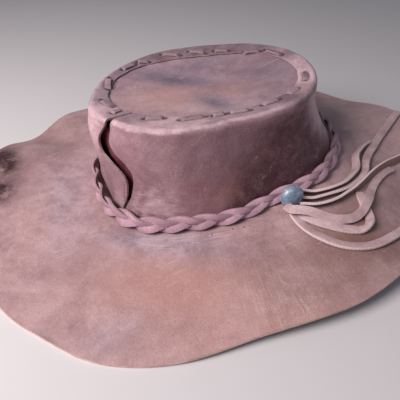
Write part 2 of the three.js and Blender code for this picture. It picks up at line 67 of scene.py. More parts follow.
def feed(tree, node, inputs):
    """Give a node's inputs their values, or the sockets that feed them."""
    for key, value in inputs.items():
        if isinstance(value, bpy.types.NodeSocket):
            tree.links.new(value, node.inputs[key])
        else:
            node.inputs[key].default_value = colour(value) if isinstance(value, str) else value


def aim(thing, place, target):
    thing.location = place
    thing.rotation_euler = (Vector(target) - Vector(place)).to_track_quat("-Z", "Y").to_euler()


scene = bpy.context.scene
scene.view_settings.view_transform = "Standard"
camera = bpy.data.objects.new("camera", bpy.data.cameras.new("camera"))
scene.collection.objects.link(camera)
camera.data.sensor_width = 36
camera.data.lens = 36
camera.data.clip_start = 0.01
aim(camera, CAMERA_FROM, CAMERA_TO)
scene.camera = camera

for lamp in LAMPS:
    light = bpy.data.lights.new(lamp["name"], "AREA")
    light.shape = "DISK"
    light.size = lamp["size"]
    light.energy = lamp["watts"]
    light.color = colour(lamp["tint"])[:3]
    stand = bpy.data.objects.new(lamp["name"], light)
    scene.collection.objects.link(stand)
    aim(stand, lamp["from"], LAMPS_AIM)

world = bpy.data.worlds.new("room")
world.use_nodes = True
feed(world.node_tree, world.node_tree.nodes["Background"], {"Color": ROOM_TINT, "Strength": ROOM_STRENGTH})
scene.world = world

bpy.ops.mesh.primitive_plane_add(size=TABLE_SIZE)
table = bpy.context.object
table.name = "table"
paint = bpy.data.materials.new("table_paint")
paint.use_nodes = True
feed(paint.node_tree, paint.node_tree.nodes["Principled BSDF"],
     {"Base Color": TABLE_WHITE, "Roughness": TABLE_ROUGHNESS})
table.data.materials.append(paint)


# ---------------------------------------------------------------- lace tails
# The six ends of the flat leather lace come out from under the bead and lie
# loose on the brim in free bends. Each is cut from the hide with a knife, so its
# two narrow sides are raw and paler than its face.
LACE_WIDTH, LACE_THICK = 0.0068, 0.0023
LACE_STEP, LINE_STEPS = 0.0017, 12
LACE_ROUND = 0.18  # radius of a lace's corners, as a part of its thickness
RAW_SIDE = 60  # degrees of a corner's turn that still belong to the cut side
TUBE_RADIUS, TUBE_CLEAR = 0.0017, 0.0002
CROWN_MIDDLE = np.array([0.0032, 0.0033, 0.0])
# turn: share of the length and how far the lace is rolled on its edge there, in
# degrees; route: millimetres about the crown's middle
TAILS = [
    {
        "length": 0.117,
        "turn": [(0.0, 52), (0.5, 50), (0.62, 34), (0.8, 48), (1.0, 42)],
        "route": [
            (24.0, -90.5, 25.2), (27.5, -92.0, 24.3), (32.5, -94.0, 22.8), (38.0, -96.0, 22.0),
            (44.0, -97.5, 22.3), (51.0, -98.7, 22.8), (59.0, -98.8, 22.8), (67.0, -98.0, 22.7),
            (75.0, -95.5, 22.4), (82.0, -92.5, 22.3), (89.0, -89.0, 22.4), (94.5, -84.5, 23.0),
            (98.5, -79.0, 23.9), (104.0, -73.5, 24.7), (111.5, -69.5, 24.7), (120.0, -65.5, 24.6),
            (128.5, -62.5, 24.2),
        ],
    },
    {
        "length": 0.202,
        "turn": [(0.0, 50), (0.36, 35), (0.45, 10), (0.5, 0), (0.6, -5), (1.0, 0)],
        "route": [
            (22.8, -97.6, 22.6), (26.5, -99.0, 22.1), (32.0, -101.0, 21.3), (39.0, -102.3, 21.7),
            (48.0, -103.2, 21.9), (57.0, -103.8, 22.0), (66.0, -103.3, 21.6), (75.0, -101.5, 21.4),
            (83.5, -99.0, 20.9), (91.0, -96.0, 20.9), (98.5, -91.5, 21.1), (105.0, -85.0, 22.0),
            (112.0, -79.5, 22.7), (120.0, -74.0, 23.2), (129.0, -69.5, 23.2), (138.0, -64.5, 23.2),
            (148.0, -59.0, 23.2), (158.0, -54.0, 23.4), (168.0, -49.0, 23.8), (178.0, -44.0, 23.9),
            (188.0, -39.0, 23.8), (196.0, -35.0, 23.9), (205.5, -30.7, 23.6),
        ],
    },
    {
        "length": 0.167,
        "turn": [(0.0, 50), (0.2, 52), (0.35, 88), (0.5, 110), (0.7, 112), (1.0, 100)],
        "route": [
            (19.0, -101.7, 20.9), (22.5, -103.5, 20.7), (30.0, -107.4, 20.4), (40.0, -109.6, 20.6),
            (50.0, -109.8, 20.9), (60.0, -108.8, 21.0), (70.0, -107.3, 20.7), (80.0, -104.6, 20.3),
            (90.0, -101.2, 19.6), (100.0, -97.6, 19.0), (110.0, -94.3, 18.5), (120.0, -91.7, 17.9),
            (130.0, -89.6, 17.2), (140.0, -88.4, 16.4), (150.0, -87.0, 15.6), (160.0, -84.5, 15.7),
            (170.0, -81.5, 16.0), (180.0, -78.0, 17.1),
        ],
    },
    {
        "length": 0.147,
        "turn": [(0.0, -35), (0.12, -45), (0.3, -45), (0.45, -10), (0.55, 0), (1.0, 0)],
        "route": [
            (7.8, -99.8, 22.5), (8.4, -105.2, 22.8), (13.0, -109.2, 23.5), (19.0, -113.6, 23.1),
            (25.5, -119.0, 21.1), (32.0, -124.6, 19.1), (39.5, -129.4, 18.9), (48.0, -131.4, 19.0),
            (57.0, -129.8, 20.5), (65.0, -126.0, 21.7), (73.0, -121.3, 21.4), (81.0, -115.7, 19.1),
            (88.0, -110.8, 17.4), (96.0, -105.8, 17.4), (104.0, -101.8, 17.1), (112.0, -98.6, 16.8),
            (121.0, -96.0, 16.4), (129.5, -94.6, 15.5),
        ],
    },
    {
        "length": 0.100,
        "turn": [(0.0, -12), (0.3, -18), (0.5, -10), (0.62, 50), (0.75, 10), (1.0, 0)],
        "route": [
            (16.6, -102.6, 19.6), (15.4, -107.0, 19.2), (16.0, -112.0, 19.0), (19.3, -118.5, 18.9),
            (24.0, -125.5, 18.8), (30.0, -132.0, 18.5), (37.0, -138.0, 18.1), (45.0, -142.0, 17.8),
            (52.0, -142.0, 17.1), (58.0, -139.0, 17.0), (62.0, -134.5, 17.1), (65.0, -129.0, 17.6),
            (68.0, -123.5, 18.1), (71.5, -117.0, 18.6), (74.8, -110.3, 19.7),
        ],
    },
    {
        "length": 0.148,
        "turn": [(0.0, 5), (0.2, 5), (0.45, 8), (0.7, 10), (1.0, 5)],
        "route": [
            (12.9, -102.8, 19.2), (11.0, -107.0, 18.9), (10.2, -112.0, 18.5), (10.2, -118.0, 18.2),
            (11.3, -125.0, 17.9), (14.3, -133.5, 17.7), (18.6, -141.0, 17.4), (24.5, -148.0, 17.2),
            (32.0, -153.3, 17.1), (41.0, -156.6, 16.7), (50.0, -157.6, 16.5), (60.0, -156.8, 15.3),
            (70.0, -155.4, 14.2), (80.0, -153.3, 12.5), (90.0, -150.6, 10.8), (100.0, -147.4, 8.9),
            (109.0, -143.8, 7.4), (117.0, -140.0, 6.1),
        ],
    },
]


def between(t, start, end, leave, reach):
    """A point on the smooth curve from start to end, given how it leaves and arrives."""
    return ((2 * t**3 - 3 * t**2 + 1) * start + (t**3 - 2 * t**2 + t) * leave
            + (3 * t**2 - 2 * t**3) * end + (t**3 - t**2) * reach)


def even_line(route, step):
    """A smooth line through the points of a route, with corners a step apart."""
    points = np.array(route)
    points = np.vstack([2 * points[0] - points[1], points, 2 * points[-1] - points[-2]])
    line = [points[1]]
    for a, b, c, d in zip(points, points[1:], points[2:], points[3:]):
        k1, k2, k3 = (math.sqrt(np.linalg.norm(q - p)) for p, q in ((a, b), (b, c), (c, d)))
        leave = ((b - a) / k1 - (c - a) / (k1 + k2) + (c - b) / k2) * k2
        reach = ((c - b) / k2 - (d - b) / (k2 + k3) + (d - c) / k3) * k2
        line += [between(t, b, c, leave, reach) for t in np.linspace(0, 1, LINE_STEPS + 1)[1:]]
    line = np.array(line)
    run = np.concatenate([[0], np.cumsum(np.linalg.norm(np.diff(line, axis=0), axis=1))])
    even = np.linspace(0, run[-1], int(round(run[-1] / step)) + 1)
    return np.stack([np.interp(even, run, line[:, i]) for i in range(3)], axis=1)


def lace_section(width, thick):
    """A flat lace's section: across, through, 1 on the cut sides, 1 on the flesh side."""
    corner = LACE_ROUND * thick
    points = []
    for sign_a, sign_t in ((1, 1), (-1, 1), (-1, -1), (1, -1)):
        for turn in (0, 45, 90) if sign_a * sign_t > 0 else (90, 45, 0):
            a = width / 2 - corner + corner * math.cos(math.radians(turn))
            t = thick / 2 - corner + corner * math.sin(math.radians(turn))
            points.append((sign_a * a, sign_t * t, float(turn < RAW_SIDE), float(sign_t < 0)))
    return np.array(points)


def put_attribute(mesh, name, values):
    mesh.attributes.new(name, "FLOAT", "POINT").data.foreach_set("value", np.asarray(values, "f"))


def new_piece(name, points, faces):
    mesh = bpy.data.meshes.new(name)
    mesh.from_pydata([tuple(p) for p in points], [], faces)
    mesh.update()
    piece = bpy.data.objects.new(name, mesh)
    scene.collection.objects.link(piece)
    return piece


def lace_mesh(name, line, across, through, width, thick, closed=False):
    """A lace swept along a line, given the directions of its width and thickness."""
    section = lace_section(width, thick)
    rings, count = len(line), len(section)
    points = (
        line[:, None] + section[None, :, :1] * across[:, None] + section[None, :, 1:2] * through[:, None]
    ).reshape(-1, 3)
    faces = []
    for i in range(rings if closed else rings - 1):
        j = (i + 1) % rings
        for k in range(count):
            n = (k + 1) % count
            faces.append((i * count + k, j * count + k, j * count + n, i * count + n))
    if not closed:
        faces.append(tuple(range(count)))
        faces.append(tuple((rings - 1) * count + k for k in reversed(range(count))))
    piece = new_piece(name, points, faces)
    run = np.concatenate([[0], np.cumsum(np.linalg.norm(np.diff(line, axis=0), axis=1))])
    put_attribute(piece.data, "cut_side", np.tile(section[:, 2], rings))
    put_attribute(piece.data, "flesh_side", np.tile(section[:, 3], rings))
    put_attribute(piece.data, "run", np.repeat(run, count))
    form = bmesh.new()
    form.from_mesh(piece.data)
    bmesh.ops.recalc_face_normals(form, faces=form.faces)
    form.to_mesh(piece.data)
    form.free()
    return piece


def pick(piece):
    bpy.ops.object.select_all(action="DESELECT")
    piece.select_set(True)
    bpy.context.view_layer.objects.active = piece


def smooth_by_angle(piece, degrees):
    pick(piece)
    bpy.ops.object.shade_smooth_by_angle(angle=math.radians(degrees))


def unit(ways):
    return ways / np.linalg.norm(ways, axis=1)[:, None]


def level_and_up(line):
    """Across an open lace that lies level, and up from its face, at each point."""
    ahead = unit(np.gradient(line, axis=0))
    level = unit(np.cross(ahead, (0, 0, 1)))
    return level, np.cross(level, ahead)


def add(tree, kind, inputs=None, output=0, **settings):
    """One node with its settings and inputs; gives back one of its outputs."""
    node = tree.nodes.new("ShaderNode" + kind)
    for key, value in settings.items():
        if key != "stops":
            setattr(node, key, value)
            continue
        while len(node.color_ramp.elements) < len(value):
            node.color_ramp.elements.new(0.5)
        for element, (place, tone) in zip(node.color_ramp.elements, value):
            element.position = place
            element.color = colour(tone) if isinstance(tone, str) else (tone, tone, tone, 1.0)
    feed(tree, node, inputs or {})
    return node.outputs[output]


def new_finish(name):
    """A new material, its tree, its shader, and the place on the piece."""
    made = bpy.data.materials.new(name)
    made.use_nodes = True
    tree = made.node_tree
    return made, tree, tree.nodes["Principled BSDF"], add(tree, "TexCoord", output="Object")


# Vegetable-tanned lace leather, cut by knife: matt waxed face with fine pores,
# raw fibrous sides a shade lighter, the dye worn off in places. The knife leaves
# a rib every 2.4 mm. Real pores, about 0.2 mm apart, are too fine to show, so
# they are drawn 1.1 mm apart. Scales are repeats to the metre.
LACE_RIB, LACE_CLOUD, LACE_PORES = 0.0024, 70.0, 900.0


def lace_leather(name, face, worn, raw, flesh="#8f7069"):
    made, tree, shader, place = new_finish(name)
    side, under, run = (add(tree, "Attribute", output="Fac", attribute_name=kept)
                        for kept in ("cut_side", "flesh_side", "run"))
    cloud = add(tree, "TexNoise", {
        "Vector": place, "Scale": LACE_CLOUD, "Detail": 4.0, "Roughness": 0.6}, "Fac")
    pores = add(tree, "TexNoise", {"Vector": place, "Scale": LACE_PORES, "Detail": 3.0}, "Fac")
    speck = add(tree, "ValToRGB", {"Fac": pores}, stops=[(0.35, 0.82), (0.6, 1.0)])
    tone = add(tree, "ValToRGB", {"Fac": cloud}, stops=[(0.38, face), (0.62, worn)])
    for amount, over, mode in ((under, flesh, "MIX"), (side, raw, "MIX"), (1.0, speck, "MULTIPLY")):
        tone = add(tree, "Mix", {0: amount, 6: tone, 7: over}, 2, data_type="RGBA", blend_type=mode)
    phase = add(tree, "Math", {0: run, 1: 2 * math.pi / LACE_RIB}, operation="MULTIPLY")
    ribs = add(tree, "Math", {0: phase}, operation="SINE")
    ribs = add(tree, "Math", {0: ribs, 1: side}, operation="MULTIPLY")
    height = add(tree, "Math", {0: ribs, 1: 0.35, 2: pores}, operation="MULTIPLY_ADD")
    bump = add(tree, "Bump", {"Strength": 0.5, "Distance": 0.0004, "Height": height})
    feed(tree, shader, {"Base Color": tone, "Normal": bump, "Roughness": 0.68, "Specular IOR Level": 0.35})
    return made


tail_leather = lace_leather("tail_lace_leather", "#b3969a", "#cbb1b4", "#dec9cb")
for number, tail in enumerate(TAILS, 1):
    line = even_line(np.array(tail["route"]) / 1000, LACE_STEP) + CROWN_MIDDLE
    roll = np.radians(np.interp(np.linspace(0, 1, len(line)), *zip(*tail["turn"])))
    # raised as it rolls on its edge, so that it rests on the brim as the CAD's tube does
    line[:, 2] += LACE_WIDTH / 2 * np.abs(np.sin(roll)) + LACE_THICK / 2 * np.cos(roll)
    line[:, 2] -= TUBE_RADIUS + TUBE_CLEAR
    level, upward = level_and_up(line)
    c, s = np.cos(roll)[:, None], np.sin(roll)[:, None]
    name = f"lace_end_{number}"
    piece = lace_mesh(name, line, c * level + s * upward, c * upward - s * level, LACE_WIDTH, LACE_THICK)
    piece.data.materials.append(tail_leather)
    smooth_by_angle(piece, 40)
    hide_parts(f"lace_tail_{number}")
    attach(piece, "root")


# ---------------------------------------------------------------- brim
# One sheet of thick cowhide with a knife-cut edge, worn into waves. Its inner
# margin turns up as a collar inside the crown. The grain side is uppermost and
# the fuzzy flesh side is underneath.
SHEET = 0.0022
EDGE_REACH = 0.165  # faces further out than this that look outwards are the cut edge
# Where the leather is marked, and where shade and light are painted on it. A row is
# x and y, reach along and across, all in millimetres, then which way the mark runs
# in degrees, and how strong it is.
BRIM_STAINS = [
    (-176, 83, 26, 14, 80, 1.8), (-182, 43, 18, 11, 75, 1.4), (-176, -113, 10, 1.6, -53, 0.9),
    (-140, -136, 22, 6, 5, 0.3),
]
BRIM_SCUFFS = [
    (-141, -126, 22, 10, 15, 0.35), (-136, 15, 50, 20, 75, 0.65), (-82, -74, 50, 12, -38, 0.8),
    (120, -35, 60, 40, 60, 0.25),
]
BRIM_WARM = [
    (-90, -118, 62, 32, -35, 1.0), (-60, -165, 80, 20, -20, 0.7), (-150, 5, 40, 20, 60, 0.6),
]
# painted shade: the brim is painted darker where shade falls, most of all at its right front, under the tails
# and behind the crown
BRIM_PAINTED_SHADE = [
    (35, -148, 50, 36, 10, 1.2), (70, -135, 70, 45, 15, 0.7), (-15, -128, 40, 30, -10, 0.45),
    (150, -20, 60, 60, 0, 0.1), (-150, 110, 50, 30, 60, 0.35),
]
BRIM_CRACKLE = [
    (-32, -162, 38, 34, 0, 0.95), (45, -172, 14, 16, 20, 0.7), (-80, -165, 40, 22, -20, 0.35),
]
# the first row is painted light on the brim behind the crown, where the crown's shadow falls; the second is
# wear
BRIM_WORN_AND_LIT = [
    (165, -35, 40, 60, 0, 0.5), (-175, -10, 40, 20, -80, 0.3),
]
# how far out the brim lies flat again, every 15 degrees from the back round
BRIM_BEND = (range(-180, 181, 15), (
    0.115, 0.117, 0.115, 0.106, 0.098, 0.094, 0.093, 0.096, 0.102, 0.109, 0.116, 0.118, 0.117,
    0.116, 0.112, 0.105, 0.097, 0.092, 0.091, 0.092, 0.097, 0.104, 0.112, 0.116, 0.115))
# stitch holes left in the brim near the braid, painted as dark spots of shade: place, radius
BRIM_HOLES = [
    ((-0.0477, -0.0853, 0.0088), 0.0008), ((-0.0312, -0.0886, 0.0106), 0.0009),
    ((-0.0232, -0.0916, 0.0117), 0.0009), ((-0.0186, -0.0928, 0.0124), 0.0007),
]


def leather_copy(node, name):
    """A CAD solid's own mesh as a new piece, its corners merged and in quads."""
    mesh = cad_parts[node].data.copy()
    mesh.name = name
    mesh.materials.clear()
    piece = bpy.data.objects.new(name, mesh)
    scene.collection.objects.link(piece)
    form = bmesh.new()
    form.from_mesh(mesh)
    bmesh.ops.remove_doubles(form, verts=form.verts, dist=1e-6)
    bmesh.ops.join_triangles(form, faces=form.faces, angle_face_threshold=3.0, angle_shape_threshold=3.0)
    form.to_mesh(mesh)
    form.free()
    pick(piece)
    bpy.ops.mesh.customdata_custom_splitnormals_clear()
    for layer in list(mesh.uv_layers):
        mesh.uv_layers.remove(layer)
    return piece


def subdivide(piece, levels):
    pick(piece)
    smooth = piece.modifiers.new("round", "SUBSURF")
    smooth.levels = smooth.render_levels = levels
    bpy.ops.object.modifier_apply(modifier=smooth.name)


def corners(mesh):
    points = np.empty(len(mesh.vertices) * 3, "f")
    mesh.vertices.foreach_get("co", points)
    return points.reshape(-1, 3).astype(float)


def move(mesh, points):
    mesh.vertices.foreach_set("co", np.asarray(points, "f").ravel())
    mesh.update()


def bearing_of(points):
    """Each point's bearing about the crown's middle, in degrees."""
    return np.degrees(np.arctan2(points[:, 1] - CROWN_MIDDLE[1], points[:, 0] - CROWN_MIDDLE[0]))


def drift(points, size, seed=0.0):
    """Soft random values from -1 to 1 that change over this many metres."""
    return np.array([noise.noise(Vector(p) / size + Vector((seed, 3 * seed, -seed))) for p in points])


def marks(points, table):
    """How strongly each point lies in the soft oval marks of a table."""
    total = np.zeros(len(points))
    for at_x, at_y, along, across, run, strength in table:
        c, s = math.cos(math.radians(run)), math.sin(math.radians(run))
        x, y = points[:, 0] * 1000 - at_x, points[:, 1] * 1000 - at_y
        a, b = (c * x + s * y) / along, (c * y - s * x) / across
        total = np.maximum(total, strength * np.exp(-(a**2 + b**2)))
    return total


# Worn vegetable-tanned cowhide: mottled where hands and sweat darkened it, fine
# closed grain, thin pale scratches in the wax, soft broad shine. Scales are
# repeats to the metre. Real pores are 0.1 to 0.3 mm apart and cracks a few
# hundredths of a millimetre wide, too fine to show: the pores are drawn about
# 1.5 mm apart, and the flakes, scratches and cracks 0.2 mm wide or more.
NOISES = {  # scale, detail, roughness, distortion
    "cloud": (17.0, 5.0, 0.58, 0.9), "patch": (90.0, 7.0, 0.68, 0.0), "pores": (650.0, 3.0, 0.7, 0.0),
    "flakes": (1500.0, 2.0, 0.5, 0.0), "bare": (30.0, 1.0, 0.5, 0.0), "broken": (110.0, 3.0, 0.6, 0.0),
    "skin": (140.0, 4.0, 0.7, 0.0),
}
FRAYED, OUTWARDS = (130, 130, 380), (0.05, 34, 1)
SCRATCH_ALONG, SCRATCH_ACROSS, SCRATCH_DOWN = 48, 900, 60
SCRATCHES = ((0.0, 1.0, 0.0), (62.0, 1.3, 4.0))  # turn, how much finer, where it starts
CRACK_NET, CRACK_SWIRL, CRACK_SWAY, GRAIN = 560.0, 120.0, 0.006, 620.0
PAINTED_SHADE, SCUFFED, SHADE_AND_DARKENED, FLAKED = "#7c5c54", ("#8a7c8a", "#ae9eac"), "#4a343a", "#d8c2c2"
SCRATCHED, CRACKED, RINGED, HOLE_SHADE = "#d9c3c0", "#dcc5bb", "#c9b9c6", "#3a2226"
LAYS = ("warm", "shade", "scuff", "worn", "grime", "stain", "crackle", "bend", "from_crown", "bearing")


def cowhide(name, dark, middle, pale, worn, warm="#b5867c", stained="#3c2228",
            shine=0.58, scratch_run=25.0, scratched=0.45, holes=()):
    made, tree, shader, place = new_finish(name)
    lay = {kept: add(tree, "Attribute", output="Fac", attribute_name=kept) for kept in LAYS}
    soft = {kept: add(tree, "TexNoise", {
        "Vector": place, "Scale": scale, "Detail": detail, "Roughness": rough, "Distortion": twist}, "Fac")
        for kept, (scale, detail, rough, twist) in NOISES.items()}

    # frayed wear, hair-fine scratches, cracks that run outwards and cracks in
    # rings: each a noise drawn out along its own way
    ways = {"frayed": ({"Vector": place, "Scale": FRAYED}, 5.0, 0.7)}
    for turn, finer, start in SCRATCHES:
        ways[f"scratch_{turn}"] = ({
            "Vector": place, "Location": (start, 0, 0), "Rotation": (0, 0, math.radians(scratch_run + turn)),
            "Scale": (SCRATCH_ALONG * finer, SCRATCH_ACROSS * finer, SCRATCH_DOWN)}, 3.0, 0.5)
    round_crown = add(tree, "CombineXYZ", {"X": lay["from_crown"], "Y": lay["bearing"]})
    ways["outwards"] = ({"Vector": round_crown, "Scale": OUTWARDS}, 6.0, 0.8)
    ways["ringed"] = ({"Vector": round_crown}, 4.0, 0.6)
    for kept, (way, detail, rough) in ways.items():
        drawn = add(tree, "Mapping", way)
        soft[kept] = add(tree, "TexNoise", {
            "Vector": drawn, "Scale": 1.0, "Detail": detail, "Roughness": rough}, "Fac")
    soft["frayed"] = add(tree, "Math", {0: soft["frayed"], 1: 0.9, 2: lay["worn"]}, operation="MULTIPLY_ADD")

    # the finish has also broken into a faint net of short pale cracks
    swirl = add(tree, "TexNoise", {"Vector": place, "Scale": CRACK_SWIRL, "Detail": 3.0}, "Color")
    swirl = add(tree, "VectorMath", {0: swirl, 1: [CRACK_SWAY] * 3, 2: place}, operation="MULTIPLY_ADD")
    soft["edges"] = add(tree, "TexVoronoi", {"Vector": swirl, "Scale": CRACK_NET}, "Distance",
                        feature="DISTANCE_TO_EDGE")

    # each mask starts from a strength, and every window in its row narrows it
    masks = {}
    for kept, strength, windows in (
        ("worn", 1.0, [("frayed", 0.60, 1.20)]),
        ("stain", lay["stain"], [("patch", 0.25, 0.5)]),
        ("flakes", 0.55, [("flakes", 0.66, 0.72), ("cloud", 0.45, 0.6)]),
        ("net", 0.20, [("edges", 0.10, 0.0), ("broken", 0.45, 0.6)]),
        ("outwards", 0.65, [("outwards", 0.50, 0.66), ("skin", 0.34, 0.56)]),
        ("rings", lay["bend"], [("ringed", 0.52, 0.62)]),
        *((f"scratch_{turn}", scratched, [(f"scratch_{turn}", 0.68, 0.73), ("bare", 0.52, 0.62)])
          for turn, finer, start in SCRATCHES),
    ):
        for pattern, start, end in windows:
            strength = add(tree, "MapRange", {
                "Value": soft[pattern], "From Min": start, "From Max": end, "To Max": strength})
        masks[kept] = strength
    first, second = (masks[f"scratch_{turn}"] for turn, finer, start in SCRATCHES)
    lines = add(tree, "Math", {0: first, 1: second}, operation="MAXIMUM")
    # where the brim's waves flex, the net is denser and hair cracks run outwards
    flexed = add(tree, "Math", {0: masks["net"], 1: 2.0, 2: masks["outwards"]}, operation="MULTIPLY_ADD")
    flexed = add(tree, "Math", {0: flexed, 1: lay["crackle"]}, operation="MULTIPLY")
    cracks = add(tree, "Math", {0: masks["net"], 1: flexed}, operation="MAXIMUM")
    # holes are painted dark, as the shade inside them; the mesh has no holes
    pits = 0.0
    for spot, radius in holes:
        away = add(tree, "VectorMath", {0: place, 1: spot}, "Value", operation="DISTANCE")
        pit = add(tree, "MapRange", {
            "Value": away, "From Min": radius, "From Max": 0.6 * radius, "To Max": 0.8})
        pits = add(tree, "Math", {0: pits, 1: pit}, operation="MAXIMUM")

    # the colours, from the dyed hide up
    mixed = add(tree, "Math", {0: soft["patch"], 1: 0.35}, operation="MULTIPLY")
    mixed = add(tree, "Math", {0: soft["cloud"], 1: 0.65, 2: mixed}, operation="MULTIPLY_ADD")
    tone = add(tree, "ValToRGB", {"Fac": mixed}, stops=[(0.38, dark), (0.5, middle), (0.62, pale)])
    rubbed = add(tree, "ValToRGB", {"Fac": soft["patch"]}, stops=[*zip((0.4, 0.6), SCUFFED)])
    pored = add(tree, "ValToRGB", {"Fac": soft["pores"]}, stops=[(0.3, 0.84), (0.6, 1.0)])
    # painted shade and light come in here with the real marks: the shade layer and the lacing's dark layer
    # are painted shade, the stain layer is partly painted shade, and the worn layer is partly painted light
    # and highlight
    for amount, over, mode in (
        (lay["warm"], warm, "MIX"), (lay["shade"], PAINTED_SHADE, "MIX"), (lay["scuff"], rubbed, "MIX"),
        (masks["worn"], worn, "MIX"), (lay["grime"], SHADE_AND_DARKENED, "MIX"), (masks["stain"], stained, "MIX"),
        (1.0, pored, "MULTIPLY"), (masks["flakes"], FLAKED, "MIX"), (lines, SCRATCHED, "MIX"),
        (cracks, CRACKED, "MIX"), (masks["rings"], RINGED, "MIX"), (pits, HOLE_SHADE, "MIX"),
    ):
        tone = add(tree, "Mix", {0: amount, 6: tone, 7: over}, 2, data_type="RGBA", blend_type=mode)

    # closed grain and pores stand up, scratches and cracks are cut in
    grain = add(tree, "TexVoronoi", {"Vector": place, "Scale": GRAIN}, "Distance")
    height = add(tree, "Math", {0: grain, 1: 0.6, 2: soft["pores"]}, operation="MULTIPLY_ADD")
    broken = add(tree, "Math", {0: lines, 1: cracks}, operation="ADD")
    height = add(tree, "Math", {0: broken, 1: -0.8, 2: height}, operation="MULTIPLY_ADD")
    bump = add(tree, "Bump", {"Strength": 0.4, "Distance": 0.0004, "Height": height})
    bump = add(tree, "Bump", {"Strength": 0.25, "Distance": 0.002, "Height": soft["patch"], "Normal": bump})
    gloss = add(tree, "MapRange", {
        "Value": soft["patch"], "From Min": 0.35, "From Max": 0.65,
        "To Min": shine - 0.08, "To Max": shine + 0.1})
    feed(tree, shader, {"Base Color": tone, "Normal": bump, "Roughness": gloss, "Specular IOR Level": 0.4})
    return made


# The flesh side and the cut edge are the same hide without its skin: fuzzy,
# matt, and lighter where the knife went through. Real fibres are a few
# hundredths of a millimetre thick, and are drawn 0.9 mm apart, so that they show.
FUZZ_CLOUD, FUZZ = 60.0, 1100.0


def raw_hide(name, dark, pale):
    made, tree, shader, place = new_finish(name)
    cloud = add(tree, "TexNoise", {
        "Vector": place, "Scale": FUZZ_CLOUD, "Detail": 8.0, "Roughness": 0.7}, "Fac")
    tone = add(tree, "ValToRGB", {"Fac": cloud}, stops=[(0.4, dark), (0.62, pale)])
    fuzz = add(tree, "TexNoise", {"Vector": place, "Scale": FUZZ, "Detail": 4.0, "Roughness": 0.8}, "Fac")
    bump = add(tree, "Bump", {"Strength": 0.6, "Distance": 0.0006, "Height": fuzz})
    feed(tree, shader, {"Base Color": tone, "Normal": bump, "Roughness": 0.95, "Specular IOR Level": 0.15})
    return made


hide_grain = cowhide("brim_grain_leather", "#96797d", "#a98a8d", "#b99b9f", "#c6a7aa", warm="#b4877f",
                     holes=BRIM_HOLES)
hide_flesh = raw_hide("brim_flesh_side", "#7d5c56", "#947068")
# the brim's cut edge is paler than raw hide alone: partly the raw fibres, partly painted light on an edge
# that faces down into shade
hide_cut = raw_hide("brim_cut_edge", "#cba99f", "#e6cec4")

brim = leather_copy("brim", "brim_leather")
GRAIN_SIDE, FLESH_SIDE, CUT_EDGE = 0, 1, 2
form = bmesh.new()
form.from_mesh(brim.data)
for face in form.faces:
    middle = face.calc_center_median()
    outward = Vector((middle.x, middle.y, 0)).normalized()
    at_edge = middle.xy.length > EDGE_REACH and face.normal.dot(outward) > 0.75
    face.material_index = CUT_EDGE if at_edge else FLESH_SIDE if face.normal.z < -0.3 else GRAIN_SIDE
crease = form.edges.layers.float.new("crease_edge")
for edge in form.edges:
    kinds = {face.material_index for face in edge.link_faces}
    if CUT_EDGE in kinds and len(kinds) > 1:
        edge[crease] = 1.0
form.to_mesh(brim.data)
form.free()
for finish in (hide_grain, hide_flesh, hide_cut):
    brim.data.materials.append(finish)
subdivide(brim, 2)

# shallow hollows in the brim's outer part, except where it lies on the table
points = corners(brim.data)
reach = np.hypot(points[:, 0] - CROWN_MIDDLE[0], points[:, 1] - CROWN_MIDDLE[1])
loose = np.clip((reach - 0.125) / 0.03, 0, 1) * np.clip((points[:, 2] - SHEET) / 0.004, 0, 1)
sink = 0.0007 * drift(points * (1, 1, 0), 0.035, 1.7) + 0.0003 * drift(points * (1, 1, 0), 0.012, 5.1)
points[:, 2] += sink * loose
move(brim.data, points)
bearing = bearing_of(points)
off_crown = reach - np.interp(bearing, *BRIM_BEND)
# the collar lies in shade under the crown's hem, and is painted lighter there, as painted light
collar = np.clip((-0.002 - off_crown) / 0.004, 0, 1) * np.clip((points[:, 2] - 0.008) / 0.003, 0, 1)
rubbed = 0.5 * np.clip(drift(points, 0.05, 9.0) * 1.4 - 0.2, 0, 1)
# the finish has cracked in rings where the brim bends up to the crown; distance
# and bearing lay out these rings and the hair cracks that run outwards
RINGS, RAYS = 620, 0.09
bend = np.exp(-(((off_crown - 0.006) / 0.007) ** 2)) * np.exp(-(((bearing + 130) / 22) ** 2))
for kept, values in {
    "stain": marks(points, BRIM_STAINS) * (0.8 + 0.2 * drift(points, 0.008, 2.0)),
    # shade: the painted shade from the table above
    "shade": 0.75 * marks(points, BRIM_PAINTED_SHADE) * (0.9 + 0.3 * drift(points, 0.03, 14.0)),
    "crackle": marks(points, BRIM_CRACKLE),
    "warm": 0.7 * marks(points, BRIM_WARM),
    # worn: random wear, with painted light on the collar and behind the crown
    "worn": np.maximum(np.maximum(rubbed, marks(points, BRIM_WORN_AND_LIT)), 0.9 * collar),
    "scuff": marks(points, BRIM_SCUFFS),
    "bend": 0.7 * bend, "from_crown": off_crown * RINGS, "bearing": bearing * RAYS,
}.items():
    put_attribute(brim.data, kept, values)
smooth_by_angle(brim, 45)
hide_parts("brim")
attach(brim, "root")


# ---------------------------------------------------------------- crown side
# One strip of the same hide wrapped round the head, over a shoulder at the top
# and folded inwards on the crown's top. Its two ends have parted into an open
# seam shaped like an S; old stitch holes still run down the end that lies over.

# Millimetres about the crown's own middle, as the leather was cut.
RIM_HEIGHT, RIM_SLOPE_FRONT, RIM_SLOPE_LEFT, RIM_CENTRE = 92.0, 0.045, -0.02, -10.9
SHOULDER, LIP_DROP, WALL_LIFT = 4.5, 1.6, 3.2
SEAM_HEADING, SEAM_REACH, SEAM_BEND, SEAM_TIGHT, SEAM_CROWDING = -160.0, 100.0, 26.0, 12.0, 24.0
FLAP_PROUD, FLAP_LOW, FLAP_HIGH, FLAP_TURN = 2.8, 6.0, 90.0, 11.0
